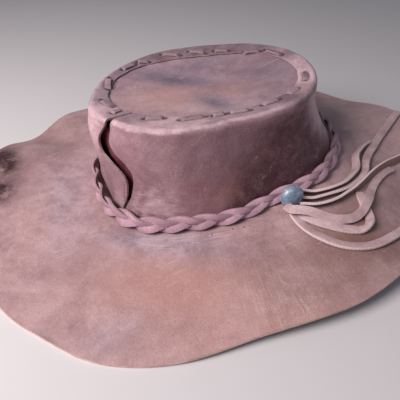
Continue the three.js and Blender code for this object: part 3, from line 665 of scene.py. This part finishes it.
# angle, foot, rise of the brim, lower edge over the brim, upper outline, lip
CROWN = np.array([
    (-180, 106.0, 5.0, 14.0, 97.0, 77.0), (-165, 108.3, 4.7, 11.0, 93.5, 72.0),
    (-150, 106.5, 4.5, 9.5, 90.5, 65.0), (-135, 97.5, 7.0, 6.5, 86.0, 60.0),
    (-120, 89.5, 9.0, 4.0, 80.0, 57.0), (-105, 84.5, 12.0, 3.2, 75.8, 55.5),
    (-90, 81.5, 16.0, 3.2, 76.0, 56.5), (-75, 85.2, 19.0, 3.2, 79.0, 58.5),
    (-60, 93.5, 22.0, 3.2, 83.8, 64.0), (-45, 100.5, 23.5, 3.2, 87.5, 70.5),
    (-30, 107.5, 25.0, 3.2, 90.8, 75.0), (-15, 109.0, 25.0, 3.2, 94.0, 78.5),
    (0, 108.5, 24.0, 3.2, 96.0, 80.5), (15, 107.5, 21.0, 3.2, 95.5, 79.0),
    (30, 103.0, 18.0, 3.2, 90.5, 71.0), (45, 96.0, 15.0, 3.2, 84.0, 63.0),
    (60, 88.0, 12.5, 3.2, 79.8, 58.5), (75, 83.0, 10.5, 3.2, 78.5, 57.5),
    (90, 81.5, 9.0, 3.2, 79.8, 60.0), (105, 83.0, 8.0, 3.2, 81.3, 64.0),
    (120, 88.0, 7.3, 3.2, 82.5, 70.0), (135, 95.0, 6.6, 3.6, 85.5, 74.5),
    (150, 102.5, 6.0, 6.0, 88.5, 77.0), (165, 106.5, 5.5, 10.5, 92.5, 78.0),
])
ANGLE, FOOT, RISE, HEM, RIM, LIP = range(6)
# part of the wall's height, swell out of a straight line: front, left, back, right
SWELL = np.array([
    (0.0, 0.0, 0.0, 0.0, 0.0), (0.2, -3.5, -0.8, -1.0, -1.2), (0.45, -6.5, -1.0, 0.5, -2.0),
    (0.7, -7.5, 0.0, 2.0, -1.8), (0.88, -5.0, 0.0, 1.6, -0.8), (1.0, 0.0, 0.0, 0.0, 0.0),
])
# the open seam: height, how far its middle lies to the side, width
SEAM = np.array([
    (-6, -2.0, 1.2), (8, -2.0, 1.2), (15, -1.4, 1.2), (22, 1.6, 1.4), (30, 5.5, 1.6), (38, 8.1, 2.0),
    (45, 9.2, 3.0), (51, 7.2, 4.8), (57, 0.0, 7.1), (63, -9.0, 9.0), (70, -12.7, 9.2), (77, -11.4, 7.6),
    (83, -9.2, 4.9), (88, -8.6, 2.4), (102, -8.6, 1.4),
])


def curve(rows, values, where, turn=0.0):
    """A smooth value between the rows of a table, closed on itself if it has a turn."""
    where = np.asarray(where, float)
    if turn:
        rows = np.concatenate([rows[-2:] - turn, rows, rows[:3] + turn])
        values = np.concatenate([values[-2:], values, values[:3]])
        where = (where - rows[2]) % turn + rows[2]
    else:
        rows = np.concatenate([[rows[0] - 1], rows, [rows[-1] + 1]])
        values = np.concatenate([values[:1], values, values[-1:]])
    slopes = np.zeros(len(rows))
    slopes[1:-1] = (values[2:] - values[:-2]) / (rows[2:] - rows[:-2])
    n = np.clip(np.searchsorted(rows, where, "right") - 1, 1, len(rows) - 3)
    span = rows[n + 1] - rows[n]
    t = (where - rows[n]) / span
    return between(t, values[n], values[n + 1], slopes[n] * span, slopes[n + 1] * span)


def heading(angle):
    """The direction of a bearing in degrees: its x and its y."""
    return np.cos(np.radians(angle)), np.sin(np.radians(angle))


def crown(column, angle):
    return curve(CROWN[:, ANGLE], CROWN[:, column], angle, 360.0)


def rim_height(x, y):
    return RIM_HEIGHT + RIM_SLOPE_FRONT * x + RIM_SLOPE_LEFT * y


def seam_angle(height):
    side = curve(SEAM[:, 0], SEAM[:, 1], np.clip(height, -4, 100))
    return SEAM_HEADING + np.degrees(side / SEAM_REACH)


def wall_face(angle, part, proud=FLAP_PROUD):
    """Outer face of the crown's wall at a part of its height."""
    angle, part = np.broadcast_arrays(np.asarray(angle, float), np.asarray(part, float))
    c, s = heading(angle)
    foot, rim = crown(FOOT, angle), crown(RIM, angle)
    top_x, top_y = RIM_CENTRE + rim * c, rim * s
    top_z = rim_height(top_x, top_y) - SHOULDER
    low = crown(RISE, angle) + WALL_LIFT
    x, y = foot * c + (top_x - foot * c) * part, foot * s + (top_y - foot * s) * part
    z = low + (top_z - low) * part
    sides = (np.maximum(c, 0), np.maximum(s, 0), np.maximum(-c, 0), np.maximum(-s, 0))
    bulge = sum(share**2 * curve(SWELL[:, 0], SWELL[:, n], part) for n, share in enumerate(sides, 1))
    off = (angle - seam_angle(z) + 540) % 360 - 180
    fade = np.sin(np.pi * np.clip((z - FLAP_LOW) / (FLAP_HIGH - FLAP_LOW), 0, 1))
    bulge = bulge + np.where(off < 0, 1.0, -0.4) * proud * fade * np.exp(-((off / FLAP_TURN) ** 2))
    return np.stack([x + c * bulge, y + s * bulge, z], axis=-1)

# The lacing that sews the rim down sinks into it. Each stitch from hole to hole:
# angle and reach about the middle of the rim.
STITCHES = [
    (96, 71.6, 84, 62.8), (75, 66.5, 62, 61.5), (54, 65.8, 43, 68.0), (31, 70.0, 22, 79.0),
    (19, 82.6, 7, 84.0), (-24, 82.0, -34, 80.5), (-45, 75.0, -53, 70.0), (-63, 67.0, -75, 62.0),
    (-87, 62.0, -100, 58.5), (-104, 58.5, -112, 58.8), (-118, 59.5, -133, 65.0), (-144, 66.0, -153, 73.5),
    (-171, 84.0, -172, 77.5), (172, 84.0, 181, 79.5), (145, 81.3, 157, 79.0), (130, 77.8, 120, 74.0),
    (116, 75.0, 110, 68.5),
]
LIP_SKIVE, STITCH_RINGS = 1.1, 19


def rim_point(angle, reach):
    """A point on the folded rim's upper face, in millimetres about the crown's middle."""
    c, s = heading(angle)
    x, y = RIM_CENTRE + reach * c, reach * s
    edge = crown(RIM, angle) - SHOULDER
    lip = crown(LIP, angle)
    inwards = np.clip((edge - reach) / (edge - lip), 0, 1)
    over = np.clip(reach - edge, 0, SHOULDER)
    z = rim_height(x, y) - (LIP_DROP + LIP_SKIVE) * inwards - SHOULDER + np.sqrt(SHOULDER**2 - over**2)
    return np.stack([x, y, z], axis=-1)


stitch_lines = [
    rim_point(*(np.linspace(*ends, STITCH_RINGS) for ends in ((start, end), (near, far)))) / 1000
    for start, near, end, far in STITCHES
]

# The sheet's rows run up the wall, over the shoulder and in to the lip, its
# columns round the head from one end at the seam to the other.
WALL_ROWS, SHOULDER_ROWS, RIM_ROWS, COLUMNS = 30, 7, 8, 320
around = np.linspace(0, 2 * np.pi, COLUMNS + 1)
column_angle = SEAM_HEADING + np.degrees(around) - SEAM_CROWDING * np.sin(around)
column_off = (column_angle - SEAM_HEADING + 180) % 360 - 180
column_off[0], column_off[-1] = 0.0, 0.0
end_side = np.where(around <= np.pi, 1.0, -1.0)
low = float(crown(RISE, SEAM_HEADING) + crown(HEM, SEAM_HEADING))
high = float(wall_face(SEAM_HEADING, 1.0)[2])

rows = []
for row in range(WALL_ROWS + SHOULDER_ROWS + RIM_ROWS + 1):
    up = min(row / WALL_ROWS, 1.0)
    height = low + (high - low) * up
    if row > WALL_ROWS + SHOULDER_ROWS:
        height = RIM_HEIGHT
    lean = float(curve(SEAM[:, 0], SEAM[:, 1], height + 0.5) - curve(SEAM[:, 0], SEAM[:, 1], height - 0.5))
    half_gap = float(curve(SEAM[:, 0], SEAM[:, 2], height)) / 2 * math.hypot(1, lean)
    bend = np.exp(-((column_off / SEAM_BEND) ** 2))
    tight = np.exp(-((column_off / SEAM_TIGHT) ** 2))
    angle = column_angle + bend * (seam_angle(min(height, high)) - SEAM_HEADING)
    angle = angle + end_side * tight * math.degrees(half_gap / SEAM_REACH)
    c, s = heading(angle)
    raised = crown(HEM, angle) - WALL_LIFT
    lowest = raised / (RIM_HEIGHT - crown(RISE, angle))
    face = wall_face(angle, lowest + (1 - lowest) * up)
    if row > WALL_ROWS:
        bent = min((row - WALL_ROWS) / SHOULDER_ROWS, 1.0) * math.pi / 2
        inset = SHOULDER * (1 - math.cos(bent))
        face = face + np.stack([-c * inset, -s * inset, np.full_like(c, SHOULDER * math.sin(bent))], axis=-1)
    if row > WALL_ROWS + SHOULDER_ROWS:
        flat = (row - WALL_ROWS - SHOULDER_ROWS) / RIM_ROWS
        ragged = 0.9 * drift(np.stack([c, s, 0 * c], axis=-1), 0.16, 3.3) * flat
        lip = crown(LIP, angle) + ragged
        lip_x, lip_y = RIM_CENTRE + lip * c, lip * s
        lip_point = np.stack([lip_x, lip_y, rim_height(lip_x, lip_y) - LIP_DROP - LIP_SKIVE], axis=-1)
        face = face + (lip_point - face) * flat
    rows.append(face)
grid = np.array(rows)

# Years of handling: shallow dents in the wall, two soft creases below the seam,
# and a shoulder that is no longer quite even. Creases are in millimetres.
CREASES = [
    {"from": (-81.4, -51.0, 50.0), "to": (-79.5, -56.5, 17.0), "wide": 2.2, "deep": 0.9},
    {"from": (-97.0, -33.0, 26.0), "to": (-103.0, -22.0, 18.0), "wide": 4.0, "deep": 0.5},
]
flat_points = grid.reshape(-1, 3) / 1000
spread = np.linalg.norm(grid[..., :2], axis=-1, keepdims=True)
outwards = np.concatenate([grid[..., :2] / spread, np.zeros_like(spread)], axis=-1).reshape(-1, 3)
row_number = np.repeat(np.arange(len(grid)), COLUMNS + 1)
on_wall = np.clip((WALL_ROWS + 2 - row_number) / 5, 0, 1)
near_hem = np.clip(row_number / 6, 0, 1)
dent = 0.0009 * drift(flat_points, 0.030, 1.0) + 0.00035 * drift(flat_points, 0.011, 4.0)
for fold in CREASES:
    a, b = np.array(fold["from"]) / 1000, np.array(fold["to"]) / 1000
    t = np.clip(((flat_points - a) @ (b - a)) / ((b - a) @ (b - a)), 0, 1)
    away = np.linalg.norm(flat_points - a - t[:, None] * (b - a), axis=1)
    depth = fold["deep"] / 1000 * np.sin(np.pi * np.clip(t, 0.05, 0.95))
    dent -= depth * np.exp(-((away / (fold["wide"] / 1000)) ** 2))
points = flat_points + outwards * (dent * on_wall * near_hem)[:, None]
points[:, 2] += 0.0004 * drift(flat_points, 0.022, 7.0) * (1 - on_wall)
to_lacing = np.min([np.linalg.norm(flat_points[:, None] - line[None, ::2], axis=2).min(axis=1)
                    for line in stitch_lines], axis=0)
on_rim = row_number > WALL_ROWS + 3
points[:, 2] -= 0.0006 * np.exp(-((to_lacing / 0.0035) ** 2)) * on_rim
points += CROWN_MIDDLE


def quads(rows, columns):
    """The faces of a grid of points with this many rows and columns."""
    return [(i * columns + j, i * columns + j + 1, (i + 1) * columns + j + 1, (i + 1) * columns + j)
            for i in range(rows - 1) for j in range(columns - 1)]


faces = quads(len(grid), COLUMNS + 1)
side = new_piece("crown_wrap", points, faces)


def ramp(value, start, end):
    """0 before the start, 1 after the end, smooth between them."""
    t = np.clip((value - start) / (end - start), 0, 1)
    return t * t * (3 - 2 * t)


def band(value, middle, reach):
    """1 at the middle, fading softly to 0 on both sides."""
    return np.exp(-(((value - middle) / reach) ** 2))


# Where the leather is marked. Bearings are in degrees, heights in metres.
x, y, z = flat_points.T
bearing = np.degrees(np.arctan2(y, x))
rough = 0.75 + 0.5 * drift(flat_points, 0.006, 8.0) + 0.3 * drift(flat_points, 0.02, 2.5)
on_shoulder = band(row_number - 2.2 * ramp(bearing, -150, -118), WALL_ROWS + 3.2, 2.4)
rim_scuff = on_rim * (0.45 + 0.4 * drift(flat_points, 0.02, 6.0))

# painted shade along the lacing, where the stitches sink into the rim; the rim is also darker on the left and
# at the front right
grime = 0.7 * band(np.clip(to_lacing - 0.0022, 0, 1), 0, 0.0012) * on_rim
left_rim = 0.45 * ramp(row_number, WALL_ROWS, WALL_ROWS + 4)
left_rim *= ramp(bearing, 12, 28) * ramp(-bearing, -145, -115)
front_corner = 0.50 * ramp(row_number, WALL_ROWS - 1, WALL_ROWS + 2)
front_corner *= ramp(bearing, -82, -68) * ramp(-bearing, 38, 48)

# the wearer's right side is darker, most of all low down: partly sweat and oil in the hide, partly painted
# shade where the wall turns away from the lamp
soaked_and_shaded = ramp(x + 0.4 * (0.092 - z) + 0.012 * drift(flat_points, 0.02, 5.5), -0.022, 0.018)
front_edge = ramp(-bearing - 450 * (z - 0.05), 32, 56)
soaked_and_shaded *= front_edge * ramp(bearing, -178, -150)
soaked_and_shaded *= 1 - 0.85 * np.clip(on_shoulder * (1.1 + drift(flat_points, 0.008, 1.5)), 0, 1)
# painted shade low on the flap, where it curves away from the lamp
flap_painted_shade = 0.25 * band(bearing, -171, 7) * ramp(z, 0.010, 0.030) * ramp(-z, -0.066, -0.048)

# Lighter along the shoulder and its ridge, where the rounded fold catches the lamp:
# painted highlight, partly worn finish. On the crown's front right: painted light,
# partly worn finish. Paler on the seam's under end. On the flap, the seam's other end,
# and its lobe: worn finish and painted light. On the lip: worn finish.
shoulder_wear_and_highlight = (0.60 + 0.15 * ramp(bearing, -90, -70) - 0.30 * ramp(bearing, -55, -35)) * on_shoulder * rough
ridge = band(row_number, WALL_ROWS + 5.2, 1.9) * ramp(bearing, -172, -160) * ramp(-bearing, 118, 138)
front_wear_and_light = (1 - front_edge) * ramp(bearing, -80, -55) * ramp(-bearing, 2, 34) * ramp(z, 0.020, 0.060)
seam_paler = band(bearing, -146, 13) * ramp(-z, -0.058, -0.030)
flap_wear_and_light = (band(bearing, 182, 9) + band(bearing, -178, 9)) * (0.3 + 0.7 * ramp(z, 0.040, 0.058))
lobe = (bearing < seam_angle(z * 1000)) * ramp(bearing, -174, -164) * ramp(-z, -0.062, -0.045)
flap_wear_and_light = np.maximum(flap_wear_and_light, 0.60 * lobe * ramp(-z, -0.042, -0.026))
lip_worn = ramp(bearing, -165, -150) * ramp(-bearing, 115, 130)
lip_worn += ramp(bearing, -42, -32) * ramp(-bearing, -5, 10)
worn = np.maximum.reduce([
    shoulder_wear_and_highlight, 0.75 * ridge * rough, 0.9 * front_wear_and_light * (0.85 + 0.3 * drift(flat_points, 0.007, 9.5)),
    0.50 * seam_paler * rough, 0.55 * flap_wear_and_light, 0.45 * lip_worn * (row_number > WALL_ROWS + 5),
])
ruddy = np.exp(-(((x + 0.020) / 0.030) ** 2) - ((z - 0.034) / 0.016) ** 2) * (y < 0)
ruddy = 0.6 * ruddy + 0.4 * np.clip(drift(flat_points, 0.04, 12.0), 0, 1) * on_wall
# stain layer: staining and painted shade; worn layer: wear, painted light and highlights; the rim's layer:
# painted shade along the lacing and a darker rim
for kept, values in {
    "scuff": rim_scuff, "grime": np.maximum.reduce([grime, left_rim, front_corner]),
    "stain": np.maximum(0.92 * soaked_and_shaded * on_wall, flap_painted_shade), "worn": worn, "warm": ruddy,
}.items():
    put_attribute(side.data, kept, np.clip(values, 0, 1))

# a lacing hole lies just past each end of a stitch, painted as a dark spot: the shade inside the hole
LACE_HOLE, HOLE_PAST = 0.0017, 0.10
holes = []
for line in stitch_lines:
    past = HOLE_PAST * (line[-1] - line[0])
    holes += [(tuple(spot + CROWN_MIDDLE), LACE_HOLE) for spot in (line[0] - past, line[-1] + past)]
# The awl holes of the old seam: angle and height of the row's two ends. Real ones
# are under 1 mm across; they are drawn about twice as wide, so that they show.
# these too are painted dark spots, the shade inside a hole
AWL_ROW_LOW, AWL_ROW_HIGH, AWL_HOLES, AWL_RADIUS = (-159.1, 24.5), (-156.9, 43.7), 8, 0.0009
skin = BVHTree.FromPolygons([Vector(point) for point in points], faces)
for angle, height in np.linspace(AWL_ROW_LOW, AWL_ROW_HIGH, AWL_HOLES):
    lowest = float(crown(RISE, angle)) + WALL_LIFT
    spot = wall_face(angle, (height - lowest) / (high - lowest)) / 1000 + CROWN_MIDDLE
    holes.append((tuple(skin.find_nearest(Vector(spot))[0]), AWL_RADIUS))
# stained is the colour of the darkened right side and flap: partly staining, partly painted shade
side.data.materials.append(cowhide(
    "crown_grain_leather", "#80606a", "#90707a", "#9f7f88", "#d2b4bb", warm="#9d6c6a", stained="#54313a",
    shine=0.52, scratch_run=70.0, holes=holes))
side.data.materials.append(raw_hide("crown_flesh_side", "#8d5c58", "#a87a72"))
side.data.materials.append(raw_hide("crown_cut_edge", "#8d7074", "#b39a9c"))


def thicken(piece, thickness, **more):
    """Give a sheet its thickness, below the face that it already has."""
    pick(piece)
    thick = piece.modifiers.new("hide", "SOLIDIFY")
    thick.thickness = thickness
    thick.offset = -1.0
    for key, value in more.items():
        setattr(thick, key, value)
    bpy.ops.object.modifier_apply(modifier=thick.name)


# the hide thins to half towards the lip
SKIVED = 0.5
hide = side.vertex_groups.new(name="hide")
for row in range(len(grid)):
    flat = max(row - WALL_ROWS - SHOULDER_ROWS, 0) / RIM_ROWS
    hide.add(range(row * (COLUMNS + 1), (row + 1) * (COLUMNS + 1)), 1 - SKIVED * flat, "REPLACE")
thicken(side, SHEET, use_even_offset=True, vertex_group="hide",
        material_offset=FLESH_SIDE, material_offset_rim=CUT_EDGE)
edge = side.modifiers.new("edge", "BEVEL")
edge.width = 0.00035
edge.segments = 2
edge.limit_method = "ANGLE"
edge.angle_limit = math.radians(60)
bpy.ops.object.modifier_apply(modifier=edge.name)
smooth_by_angle(side, 40)
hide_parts("crown_side")
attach(side, "root")


# ---------------------------------------------------------------- seam backing
# Where the seam has parted, more of the same hide shows dark red behind it. This
# strip stands for the under end of the wall, which carries on behind the flap. Its
# colour is darker than the hide's own, as painted shade in the narrow gap.
BACKING_INSET, BACKING_LOW, BACKING_HIGH, BACKING_SPAN = 0.0046, 25.0, 79.0, 9.0
BACKING_THICK, BACKING_ROWS, BACKING_COLUMNS = 0.0014, 28, 19
rows = []
for height in np.linspace(BACKING_LOW, BACKING_HIGH, BACKING_ROWS):
    angle = seam_angle(height) + np.linspace(-BACKING_SPAN, BACKING_SPAN, BACKING_COLUMNS)
    c, s = heading(angle)
    low_edge = crown(RISE, angle) + WALL_LIFT
    face = wall_face(angle, (height - low_edge) / (high - low_edge), 0.0) / 1000
    rows.append(face - BACKING_INSET * np.stack([c, s, 0 * c], axis=-1))
points = np.array(rows).reshape(-1, 3) + CROWN_MIDDLE
backing = new_piece("seam_backing", points, quads(BACKING_ROWS, BACKING_COLUMNS))
backing.data.materials.append(raw_hide("backing_shaded_hide", "#5a2c34", "#7b454b"))
thicken(backing, BACKING_THICK)
smooth_by_angle(backing, 40)
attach(backing, "root")


# ---------------------------------------------------------------- crown top
# A dished oval of the same hide that closes the crown. Its edge lies under the
# folded rim, and the middle has sunk into soft hollows.

# rows as in the brim's tables
TOP_HOLLOWS = [
    (-22, 34, 34, 11, -42, 1.0), (-12, -24, 20, 10, -75, 0.9), (45, -5, 26, 18, 15, 0.45),
    (10, 45, 30, 10, 5, 0.5),
]
# the first row is painted light on the lid's front left, the side of the dish that faces the lamp
TOP_WORN_AND_LIT = [
    (-20, -30, 50, 20, -25, 1.0), (-62, 10, 16, 30, 0, 0.6),
]
TOP_WARM = [
    (-40, -2, 38, 26, -20, 1.0), (12, -12, 24, 16, 0, 0.7),
]
# the part that may sink: its middle and half its length and width
HOLLOW_MIDDLE, HOLLOW_REACH = (-0.008, 0.003), (0.078, 0.056)
top = leather_copy("crown_top", "crown_lid")
# stained here is the colour of the painted shade in the hollows
lid_grain = cowhide("lid_grain_leather", "#866e7a", "#967d88", "#a58d97", "#bda3a8", warm="#b28c86",
                    stained="#60566a", scratch_run=-10.0, scratched=0.9)
for finish in (lid_grain, hide_flesh):
    top.data.materials.append(finish)
for face in top.data.polygons:
    face.material_index = FLESH_SIDE if face.normal.z < -0.3 else GRAIN_SIDE
subdivide(top, 2)
points = corners(top.data)
inside = np.linalg.norm((points[:, :2] - HOLLOW_MIDDLE) / HOLLOW_REACH, axis=1)
free = np.clip((1.0 - inside) / 0.2, 0, 1)
points[:, 2] += free * (0.0008 * drift(points * (1, 1, 0), 0.028, 2.2) - 0.0016 * marks(points, TOP_HOLLOWS))
move(top.data, points)
# the hollows are painted darker, as painted shade; the worn layer is random wear with painted light at the
# front left
put_attribute(top.data, "scuff", 0.5 * marks(points, TOP_HOLLOWS))
put_attribute(top.data, "warm", 0.8 * marks(points, TOP_WARM))
put_attribute(top.data, "worn", np.maximum(0.3 * drift(points, 0.018, 3.0), 0.55 * marks(points, TOP_WORN_AND_LIT)))
put_attribute(top.data, "stain", 0.9 * marks(points, TOP_HOLLOWS))
smooth_by_angle(top, 45)
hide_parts("crown_top")
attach(top, "root")


# ---------------------------------------------------------------- crown lacing
# A flat lace sews the folded rim to the top in long running stitches. Each
# stitch comes up through one punched hole and goes down through the next.
STITCH_WIDTH, STITCH_THICK = 0.0050, 0.0016
stitch_leather = lace_leather("stitch_lace_leather", "#85707a", "#9d8891", "#9a858c")
# a stitch dives into its holes, and lies flat on the rim between them
DIVE, PROUD, FLATNESS = 0.0026, 0.0028, 2.6
arch = np.minimum(np.sin(np.pi * np.linspace(0, 1, STITCH_RINGS)) * FLATNESS, 1.0)
for number, line in enumerate(stitch_lines, 1):
    line = line + CROWN_MIDDLE
    line[:, 2] += -DIVE + PROUD * arch
    piece = lace_mesh(f"stitch_{number}", line, *level_and_up(line), STITCH_WIDTH, STITCH_THICK)
    piece.data.materials.append(stitch_leather)
    smooth_by_angle(piece, 40)
    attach(piece, "root")


# ---------------------------------------------------------------- hatband
# A flat braid of three laces, drawn tight round the foot of the crown. Each lace
# goes over the middle one from either side in turn, so that its bights make the
# scalloped edges.
BAND_RISE, BAND_TURNS, BAND_START = 0.0018, 10, -0.62
STRAND_WIDTH, STRAND_THICK = 0.0062, 0.0021
BAND_STATIONS, RINGS_EACH, FULL_WIDTH, BAND_ROLL = 72, 20, 0.0140, 16.0
form = bmesh.new()
form.from_mesh(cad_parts["hatband"].data)
bmesh.ops.remove_doubles(form, verts=form.verts, dist=1e-6)
ring = np.array([corner.co for corner in form.verts], float)
form.free()
steps = np.round(bearing_of(ring) * BAND_STATIONS / 360).astype(int) % BAND_STATIONS
middles, across, widths = [], [], []
for step in range(BAND_STATIONS):
    section = ring[steps == step]
    section = section[np.argsort(section[:, 2])]
    half = len(section) // 2
    middles.append(section.mean(axis=0))
    across.append(section[half:].mean(axis=0) - section[:half].mean(axis=0))
    widths.append(np.ptp(section @ across[-1]) / np.linalg.norm(across[-1]))
stations = np.arange(float(BAND_STATIONS))
fine = np.linspace(0, BAND_STATIONS, BAND_STATIONS * RINGS_EACH + 1)[:-1]
middle, upward = (
    np.stack([curve(stations, np.array(values)[:, i], fine, float(BAND_STATIONS)) for i in range(3)], axis=-1)
    for values in (middles, across))
upward = unit(upward)
band_width = curve(stations, np.array(widths), fine, float(BAND_STATIONS))
strand_share = np.clip(band_width / FULL_WIDTH, 0.7, 1.0)
chord = np.linalg.norm(np.roll(middle, -1, axis=0) - middle, axis=1)
run = np.concatenate([[0], np.cumsum(chord)[:-1]]) / chord.sum()
forward = unit(np.roll(middle, -1, axis=0) - np.roll(middle, 1, axis=0))
outward = np.cross(forward, upward)

# the braid's cut sides are painted darker than its face, as painted shade between the strands
band_leather = lace_leather("band_lace_leather", "#ac8997", "#c09eae", "#a28690")
for strand in range(3):
    # the hand that braids is never quite even
    phase = 2 * np.pi * (BAND_TURNS * run + strand / 3) + BAND_START
    phase = phase + 0.16 * np.sin(2 * np.pi * 3 * run + strand)
    phase = phase + 0.10 * np.sin(2 * np.pi * 7 * run + 2 * strand)
    uneven = 1 + 0.07 * np.sin(2 * np.pi * 5 * run + 2.1 * strand)
    swing = (band_width - STRAND_WIDTH * strand_share) / 2 * uneven
    swing = swing * (np.sin(phase) - 0.05 * np.sin(3 * phase))
    lift = -BAND_RISE * np.sin(2 * phase)
    line = middle + upward * swing[:, None] + outward * lift[:, None]
    ahead = unit(np.roll(line, -1, axis=0) - np.roll(line, 1, axis=0))
    facing = unit(outward - (outward * ahead).sum(axis=1)[:, None] * ahead)
    wide_way = np.cross(ahead, facing)
    roll = np.radians(BAND_ROLL) * np.cos(phase)
    c, s = np.cos(roll)[:, None], np.sin(roll)[:, None]
    piece = lace_mesh(f"band_strand_{strand + 1}", line, strand_share[:, None] * (c * wide_way + s * facing),
                      c * facing - s * wide_way, STRAND_WIDTH, STRAND_THICK, closed=True)
    piece.data.materials.append(band_leather)
    smooth_by_angle(piece, 40)
    if strand == 0:
        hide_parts("hatband")
    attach(piece, "root")


# ---------------------------------------------------------------- bead
# A low domed bead that hides where the ends of the lace leave the braid. It is
# finished as stone-grey pottery with a pearly, clouded glaze.
BEAD_RADIUS, BEAD_DEPTH, BEAD_HEADING, BEAD_TIP = 0.0095, 0.0064, -98, 6
BEAD_CLOUD = 190.0
bpy.ops.object.select_all(action="DESELECT")
bpy.ops.mesh.primitive_uv_sphere_add(segments=48, ring_count=24, radius=1.0)
bead = bpy.context.object
bead.name = "pottery_bead"
bead.scale = (BEAD_RADIUS, BEAD_RADIUS, BEAD_DEPTH)
bead.rotation_euler = (math.radians(90 - BEAD_TIP), 0, math.radians(BEAD_HEADING + 90))
bead.location = sum(np.array(corner, float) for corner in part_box("bead")) / 2
bpy.ops.object.transform_apply(location=True, rotation=True, scale=True)
glaze, tree, shader, place = new_finish("bead_glaze")
cloud = add(tree, "TexNoise", {"Vector": place, "Scale": BEAD_CLOUD, "Detail": 6.0, "Roughness": 0.6}, "Fac")
tone = add(tree, "ValToRGB", {"Fac": cloud}, stops=[(0.35, "#63758a"), (0.55, "#8799ab"), (0.7, "#b4c2cf")])
feed(tree, shader, {"Base Color": tone, "Roughness": 0.32, "Coat Weight": 0.35, "Coat Roughness": 0.2})
bead.data.materials.append(glaze)
smooth_by_angle(bead, 60)
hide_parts("bead")
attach(bead, "root")
